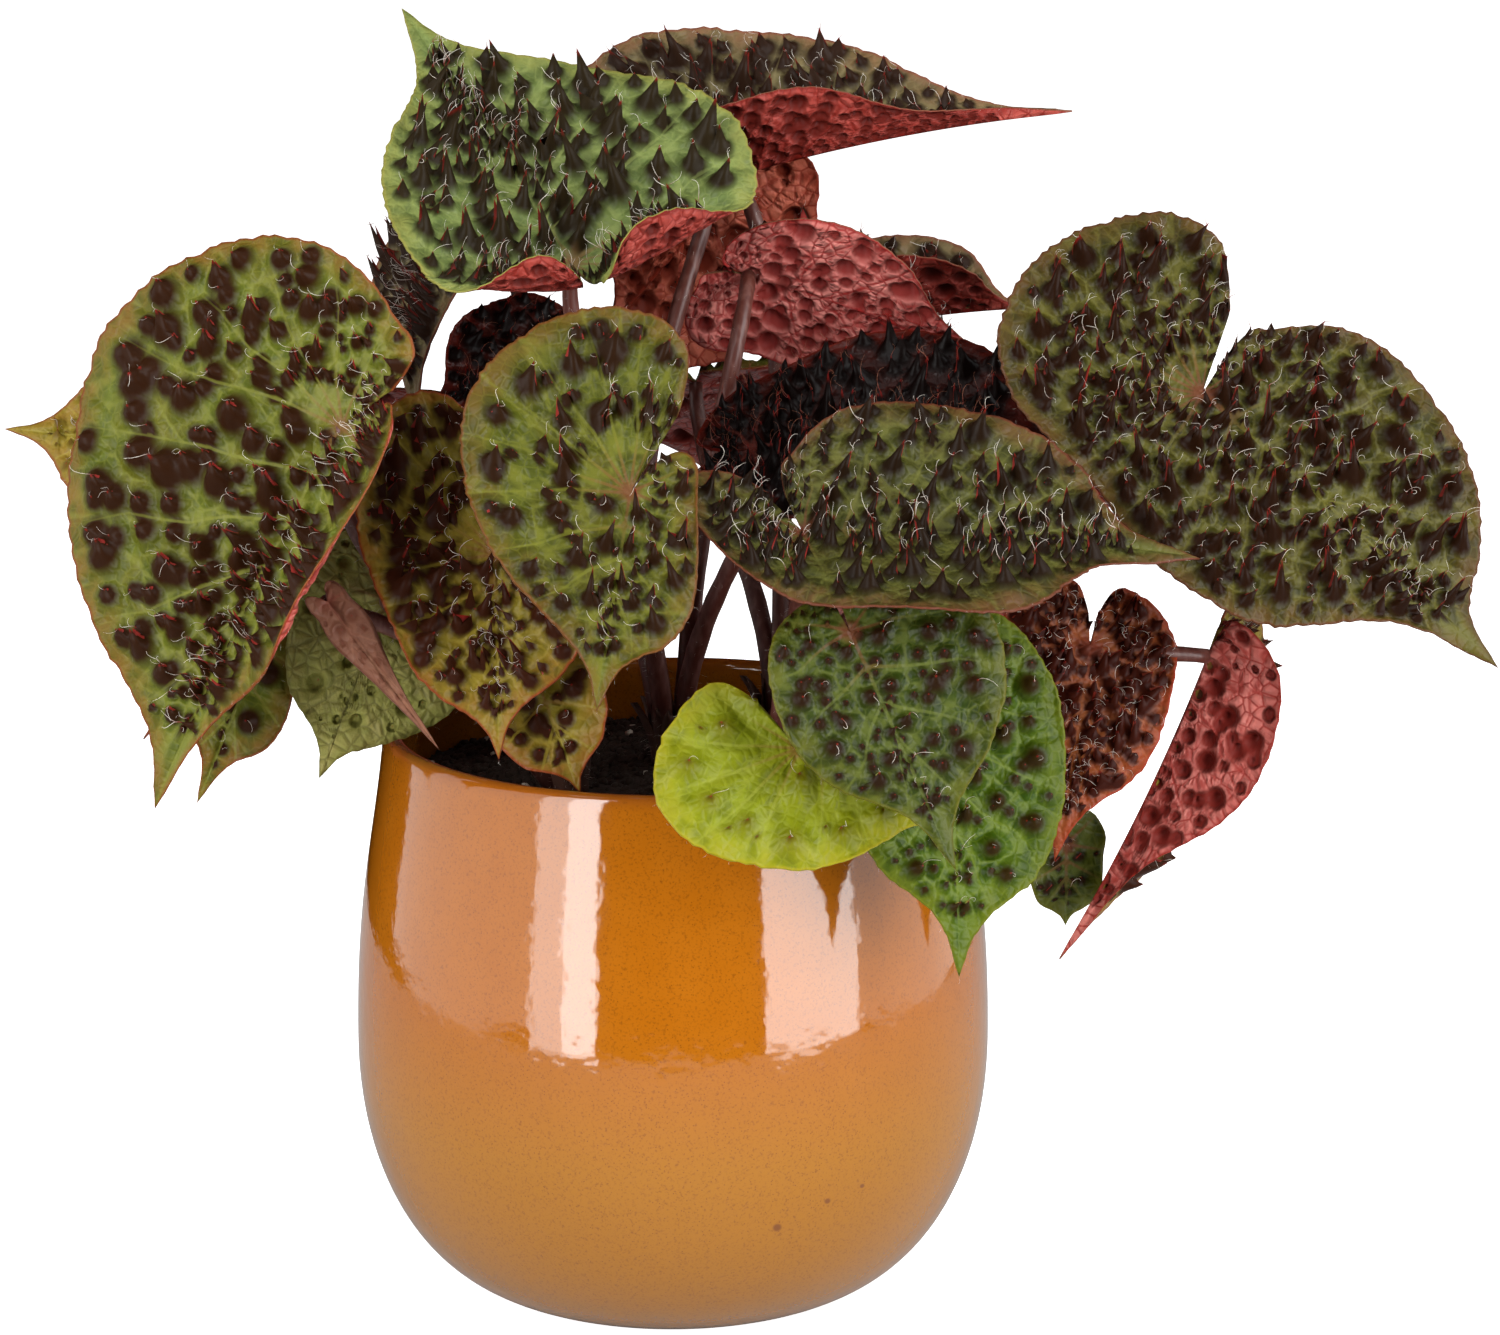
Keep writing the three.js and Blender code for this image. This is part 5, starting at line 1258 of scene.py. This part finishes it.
def stalk_material():
    """Living begonia stalk: dark red-brown skin with paler streaks and spots, satin."""
    material, tree = new_material("red_leaf_stalk")
    place = object_place(tree)
    drawn_out = add_node(tree, "ShaderNodeVectorMath", {0: place, 1: (1, 1, 0.25)}, operation="MULTIPLY")
    streak = noise(tree, drawn_out.outputs[0], 1.6 * MM)
    colour = mixed(tree, ramp(tree, streak, 0.45, 0.75, 0, 0.8), linear(STALK_RED), linear(STALK_LIGHT))
    height = add_node(tree, "ShaderNodeSeparateXYZ", {0: place}).outputs["Z"]
    low = ramp(tree, height, SCAR_HEIGHT * MM, SCAR_END_HEIGHT * MM, 0.8, 0)
    colour = mixed(tree, low, colour, linear(STALK_SCAR))
    streaks = bumped(tree, streak, 0.3 * MM, 0.4)
    add_surface(tree, {"Base Color": colour, "Roughness": 0.42, "Normal": streaks})
    return material


def stipule_material():
    """Dried stipule: thin brown papery skin, matte."""
    material, tree = new_material("dried_stipule")
    patches = noise(tree, object_place(tree), 3 * MM, 4)
    colour = mixed(tree, patches, linear(STALK_SCAR), linear(STIPULE_BROWN))
    add_surface(tree, {"Base Color": colour, "Roughness": 0.75})
    return material


def shoot_parts(shoot, foot):
    """Corners, faces and material number of a shoot's rhizome, petioles and stipules."""
    heights = np.linspace(RHIZOME_FOOT, RHIZOME_TOP, RHIZOME_STEPS)
    knobs = 1 + 0.1 * np.sin(heights * 1.3 + foot[0])
    taper = np.interp(heights, [RHIZOME_FOOT, RHIZOME_TOP - 3, RHIZOME_TOP], [1, 0.72, 0.45])
    line = np.stack([np.full(RHIZOME_STEPS, foot[0]), np.full(RHIZOME_STEPS, foot[1]), heights], -1)
    yield *tube(line, RHIZOME_RADIUS * knobs * taper, RHIZOME_SIDES), 0
    for leaf in LEAVES:
        if leaf["shoot"] != shoot:
            continue
        line = petiole_line(blades[leaf["name"]], foot, PETIOLE_STEPS)
        radii = np.linspace(PETIOLE_FOOT_RADIUS, PETIOLE_END_RADIUS, PETIOLE_STEPS)
        radii = radii * (1 + 0.04 * np.sin(np.arange(PETIOLE_STEPS) * 1.7 + leaf["seed"]))
        yield *tube(line, radii, PETIOLE_SIDES), 0
        out = unit(line[6, :2] - foot)
        for turn in STIPULE_TURNS:
            c, s = math.cos(turn), math.sin(turn)
            way = np.array([out[0] * c - out[1] * s, out[0] * s + out[1] * c])
            root = np.array([*(np.array(foot) + way * 5.0), SOIL_EDGE_HEIGHT / MM + 4])
            yield *stipule(root, way, 0.2 + 0.8 * scatter(leaf["seed"], 3, round(turn))), 1


skins = (stalk_material(), stipule_material())
shoots = {}
for shoot, foot in RHIZOMES.items():
    corners, faces, kinds = [], [], []
    for part_corners, part_faces, kind in shoot_parts(shoot, foot):
        faces += [tuple(v + len(corners) for v in f) for f in part_faces]
        kinds += [kind] * len(part_faces)
        corners += [tuple(v * MM) for v in part_corners]
    data = new_mesh("shoot_" + shoot, corners, faces)
    for skin in skins:
        data.materials.append(skin)
    data.polygons.foreach_set("material_index", kinds)
    piece = new_object("stalks_" + shoot, data)
    shoots[shoot] = piece
    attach(piece, "root")
    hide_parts("shoot_" + shoot)

# Hairs
# Fine curly hairs, red at the root and white at the tip. One stands on the point of every cone taller than
# HAIRY_HEIGHT and two on most of those twice as tall, a short fringe lines every margin, and short straight
# ones cover the petioles.
HAIR_LENGTH = 4.5
HAIR_RADIUS_SHARE = 0.016
HAIR_SEGMENTS = 6
HAIR_LEAN = 0.5
HAIRY_HEIGHT = 1.8
FRINGE_SHARE = 0.24
FRINGE_STEP = 3
HAIR_VARIANTS = [(1.6, 0.45, 0.0), (3.0, 0.3, 1.0), (4.6, 0.2, 2.5), (2.2, 0.4, 4.0), (5.5, 0.16, 0.5)]
STALK_HAIR_LENGTH = 1.9
STALK_HAIR_SEGMENTS = 3
STALK_HAIR_VARIANTS = [(2.0, 0.05, 0.0), (3.0, 0.08, 2.0)]
STALK_HAIRS_PER_M2 = 50000.0
HAIR_ROOT = 0x7A2A20
HAIR_TIP = 0xE9E2D6
HAIR_RUST = 0x7C4A34


def hair_material(name, root, tip):
    """A leaf hair: a chain of clear cells, red with sap at its root and white towards its tip."""
    material, tree = new_material(name)
    along = add_node(tree, "ShaderNodeAttribute", attribute_name="along").outputs["Fac"]
    colour = mixed(tree, ramp(tree, along, 0.1, 0.55, 0, 1), linear(root), linear(tip))
    add_surface(tree, {"Base Color": colour, "Roughness": 0.45})
    return material


def hair_shapes(tree, variants, segments):
    """One curled, tapering hair for each variant (turns of its curl, its width and where it starts), of
    length 1 and standing on the origin, as a list of instances."""
    picks = add_node(tree, "GeometryNodeJoinGeometry")
    line = add_node(tree, "GeometryNodeCurvePrimitiveLine", {"Start": (0, 0, 0), "End": (0, 0, 1)}).outputs[0]
    fine = add_node(tree, "GeometryNodeResampleCurve", {"Curve": line, "Count": segments + 1}).outputs[0]
    share = add_node(tree, "GeometryNodeSplineParameter").outputs["Factor"]
    taper = ramp(tree, share, 0, 1, 1, 0.35)
    circle = {"Resolution": 3, "Radius": HAIR_RADIUS_SHARE}
    circle = add_node(tree, "GeometryNodeCurvePrimitiveCircle", circle).outputs[0]
    for turns, width, start in variants:
        angle = maths(tree, "MULTIPLY_ADD", share, turns, start)
        swing = maths(tree, "MULTIPLY", share, width)
        x, y = (maths(tree, "MULTIPLY", maths(tree, wave, angle), swing) for wave in ("SINE", "COSINE"))
        sag = maths(tree, "MULTIPLY", x, -1.0)
        offset = add_node(tree, "ShaderNodeCombineXYZ", {"X": x, "Y": y, "Z": sag}).outputs[0]
        curled = add_node(tree, "GeometryNodeSetPosition", {"Geometry": fine, "Offset": offset}).outputs[0]
        marked = add_node(
            tree, "GeometryNodeStoreNamedAttribute", {"Geometry": curled, "Name": "along", "Value": share},
            data_type="FLOAT", domain="POINT",
        ).outputs[0]
        body = {"Curve": marked, "Profile Curve": circle, "Scale": taper, "Fill Caps": True}
        body = add_node(tree, "GeometryNodeCurveToMesh", body).outputs[0]
        one = add_node(tree, "GeometryNodeGeometryToInstance", {0: body}).outputs[0]
        tree.links.new(one, picks.inputs[0])
    return picks.outputs[0]


def hair_tree(name, material, variants, segments, on_faces):
    """Plants hairs on points that know their aim and length, or scatters them over the faces of a mesh."""
    tree, given = geometry_tree(name, {"Length": 1.0, "Lean": HAIR_LEAN, "Density": 1.0, "Seed": 0})

    def known(label, kind):
        return add_node(tree, "GeometryNodeInputNamedAttribute", {"Name": label}, data_type=kind).outputs[0]

    if on_faces:
        spread = scattered(tree, given)
        points, aim, length = spread["Points"], spread["Normal"], given["Length"]
    else:
        points, aim = given["Geometry"], known("aim", "FLOAT_VECTOR")
        length = maths(tree, "MULTIPLY", known("length", "FLOAT"), given["Length"])
    upright = add_node(tree, "FunctionNodeAlignRotationToVector", {"Vector": aim}, axis="Z").outputs[0]
    lean, back = given["Lean"], maths(tree, "MULTIPLY", given["Lean"], -1.0)
    low = add_node(tree, "ShaderNodeCombineXYZ", {"X": back, "Y": back, "Z": -3.14}).outputs[0]
    high = add_node(tree, "ShaderNodeCombineXYZ", {"X": lean, "Y": lean, "Z": 3.14}).outputs[0]
    turn = random_vector(tree, given, low, high)
    leant = add_node(tree, "FunctionNodeRotateRotation", {0: upright, 1: turn}, rotation_space="LOCAL")
    plant_instances(tree, material, {
        "Points": points, "Instance": hair_shapes(tree, variants, segments), "Pick Instance": True,
        "Rotation": leant.outputs[0],
        "Scale": maths(tree, "MULTIPLY", length, random_number(tree, given, 0.6, 1.25)),
    })
    return tree


def hair_roots(blade):
    """A loose-point mesh of the places where a blade's hairs stand, with each one's aim and length."""
    sheet = blade.sheet
    places, aims, lengths = [], [], []
    for half, (cones, grid) in enumerate(zip(blade.cones, blade.grids)):
        x, out, height, share = cones[:, 0], cones[:, 1], cones[:, 3], cones[:, 4]
        chance = scatter(blade.leaf["seed"] + 95, np.arange(len(cones)), half)
        count = (height > HAIRY_HEIGHT).astype(int) + (height > 2 * HAIRY_HEIGHT) * (chance > 0.4)
        normal = sheet.normal(half, x, out)
        tip = sheet.at(half, x, out) + normal * (height * 0.95 + 0.6)[:, None]
        tip += level(blade.leans(half) * height[:, None], normal)
        rows = slice(None, None, FRINGE_STEP)
        inner, rim = (sheet.at(half, grid["x"][rows, c], grid["out"][rows, c]) for c in (-2, -1))
        places += [np.repeat(tip, count, axis=0), rim]
        aims += [np.repeat(normal, count, axis=0), unit(rim - inner)]
        lengths += [np.repeat(0.45 + 0.55 * share, count), np.full(len(rim), FRINGE_SHARE)]
    data = new_mesh("hair_roots", (np.concatenate(places) * MM).tolist(), [])
    aims, lengths = np.concatenate(aims).ravel(), np.concatenate(lengths)
    data.attributes.new("aim", "FLOAT_VECTOR", "POINT").data.foreach_set("vector", aims)
    data.attributes.new("length", "FLOAT", "POINT").data.foreach_set("value", lengths)
    return new_object("hair_roots", data)


leaf_hair = hair_material("leaf_hair", HAIR_ROOT, HAIR_TIP)
young_hair = hair_material("young_leaf_hair", HAIR_ROOT, HAIR_RUST)
cone_hairs = hair_tree("hairs_on_cones", leaf_hair, HAIR_VARIANTS, HAIR_SEGMENTS, False)
young_hairs = hair_tree("hairs_on_young_cones", young_hair, HAIR_VARIANTS, HAIR_SEGMENTS, False)
stalk_hairs = hair_tree("hairs_on_stalks", leaf_hair, STALK_HAIR_VARIANTS, STALK_HAIR_SEGMENTS, True)
for leaf in LEAVES:
    if leaf["name"] == "strip_dried":
        continue
    roots = hair_roots(blades[leaf["name"]])
    values = {"Length": HAIR_LENGTH * MM, "Lean": HAIR_LEAN, "Seed": leaf["seed"]}
    planted = young_hairs if leaf["upper"] == "umber" else cone_hairs
    hairs = plain_mesh("hairs_" + leaf["name"], roots, planted, values)
    bpy.data.objects.remove(roots)
    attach(hairs, "root")
for number, (shoot, carrier) in enumerate(shoots.items()):
    values = {"Length": STALK_HAIR_LENGTH * MM, "Lean": HAIR_LEAN}
    values.update({"Density": STALK_HAIRS_PER_M2, "Seed": number})
    hairs = plain_mesh("stalk_hairs_" + shoot, carrier, stalk_hairs, values)
    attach(hairs, "root")

# Floor and light
# A white sweep under and behind the plant, and a round table top. Tall softboxes stand round it to the left
# and right of the camera and leave straight highlights on the pot, and a large soft light hangs overhead.
SWEEP_RADIUS = 5.0
SWEEP_WHITE = 0xF2F2F2
SWEEP_GLOW = 1.0
TABLE_RADIUS = 0.42
TABLE_WHITE = 0xBEBEBE
TABLE_DROP = 0.2 * MM
SHEET_SIDES = 96
SOFTBOX_DISTANCE = 1.1
SOFTBOX_TOP = 1.3
SOFTBOX_FOOT = -0.16
PLANT_MIDDLE = (0, 0, 0.2)
SURROUND_LIGHT = 0.12


def white_sheet(name, radius, z, white, glow):
    """A round sheet of white paper that lies on the ground, centred under the pot."""
    turns = np.linspace(0, 2 * math.pi, SHEET_SIDES, endpoint=False)
    corners = [(radius * math.cos(a), radius * math.sin(a), z) for a in turns]
    mesh = new_mesh(name, corners, [tuple(range(SHEET_SIDES))])
    paper, tree = new_material(name + "_white_paper")
    shine = {"Emission Color": (1, 1, 1, 1), "Emission Strength": glow, "Specular IOR Level": 0.0}
    add_surface(tree, {"Base Color": linear(white), "Roughness": 0.9, **shine})
    mesh.materials.append(paper)
    made = new_object(name, mesh)
    made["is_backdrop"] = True
    return made


# The wide sweep is only looked at; the table top under it is what lights the pot and is mirrored in it
sweep = white_sheet("sweep", SWEEP_RADIUS, 0.0, SWEEP_WHITE, SWEEP_GLOW)
sweep.visible_diffuse = False
sweep.visible_glossy = False
sweep.visible_shadow = False
table_top = white_sheet("table_top", TABLE_RADIUS, -TABLE_DROP, TABLE_WHITE, 0.0)
table_top.visible_camera = False


def softbox(name, place, target, width, height, radiance):
    """A rectangular white studio light that faces its target; its power follows from the wanted radiance."""
    light = bpy.data.lights.new(name, "AREA")
    light.shape = "RECTANGLE"
    light.size = width
    light.size_y = height
    light.energy = radiance * math.pi * width * height
    made = bpy.data.objects.new(name, light)
    made.location = place
    made.rotation_euler = (Vector(target) - Vector(place)).to_track_quat("-Z", "Y").to_euler()
    bpy.context.scene.collection.objects.link(made)
    return made


def standing_softbox(name, left_edge, right_edge, radiance):
    """An upright softbox behind the table's edge, from a little below its top. It spans two directions, in
    degrees to the right of the camera as seen from the pot."""
    a = math.radians((left_edge + right_edge) / 2)
    width = 2 * SOFTBOX_DISTANCE * math.tan(math.radians((right_edge - left_edge) / 2))
    middle = (SOFTBOX_TOP + SOFTBOX_FOOT) / 2
    place = (SOFTBOX_DISTANCE * math.sin(a), -SOFTBOX_DISTANCE * math.cos(a), middle)
    softbox(name, place, (0, 0, middle), width, SOFTBOX_TOP - SOFTBOX_FOOT, radiance)


standing_softbox("left_softbox", -38, -26, 9.4)
standing_softbox("left_softbox_edge", -50, -38, 4.8)
standing_softbox("left_wall", -120, -50, 1.3)
standing_softbox("right_softbox", 33, 69, 6.2)
standing_softbox("right_wall", 69, 130, 1.35)
front_fill = softbox("front_fill", (-0.15, -1.5, 1.25), PLANT_MIDDLE, 0.9, 0.9, 1.5)
front_fill.visible_glossy = False
softbox("overhead", (0, -0.15, 1.6), PLANT_MIDDLE, 1.2, 1.2, 1.1)

world = bpy.data.worlds.new("white_surround")
world.use_nodes = True
surround = world.node_tree.nodes["Background"]
surround.inputs["Color"].default_value = (1, 1, 1, 1)
surround.inputs["Strength"].default_value = SURROUND_LIGHT
bpy.context.scene.world = world
world.cycles_visibility.glossy = False
bpy.context.scene.view_settings.view_transform = "Standard"

sizes = {"cad": CAD_BOX, "scene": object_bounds()}
{key: [list(corner) for corner in box] for key, box in sizes.items()}
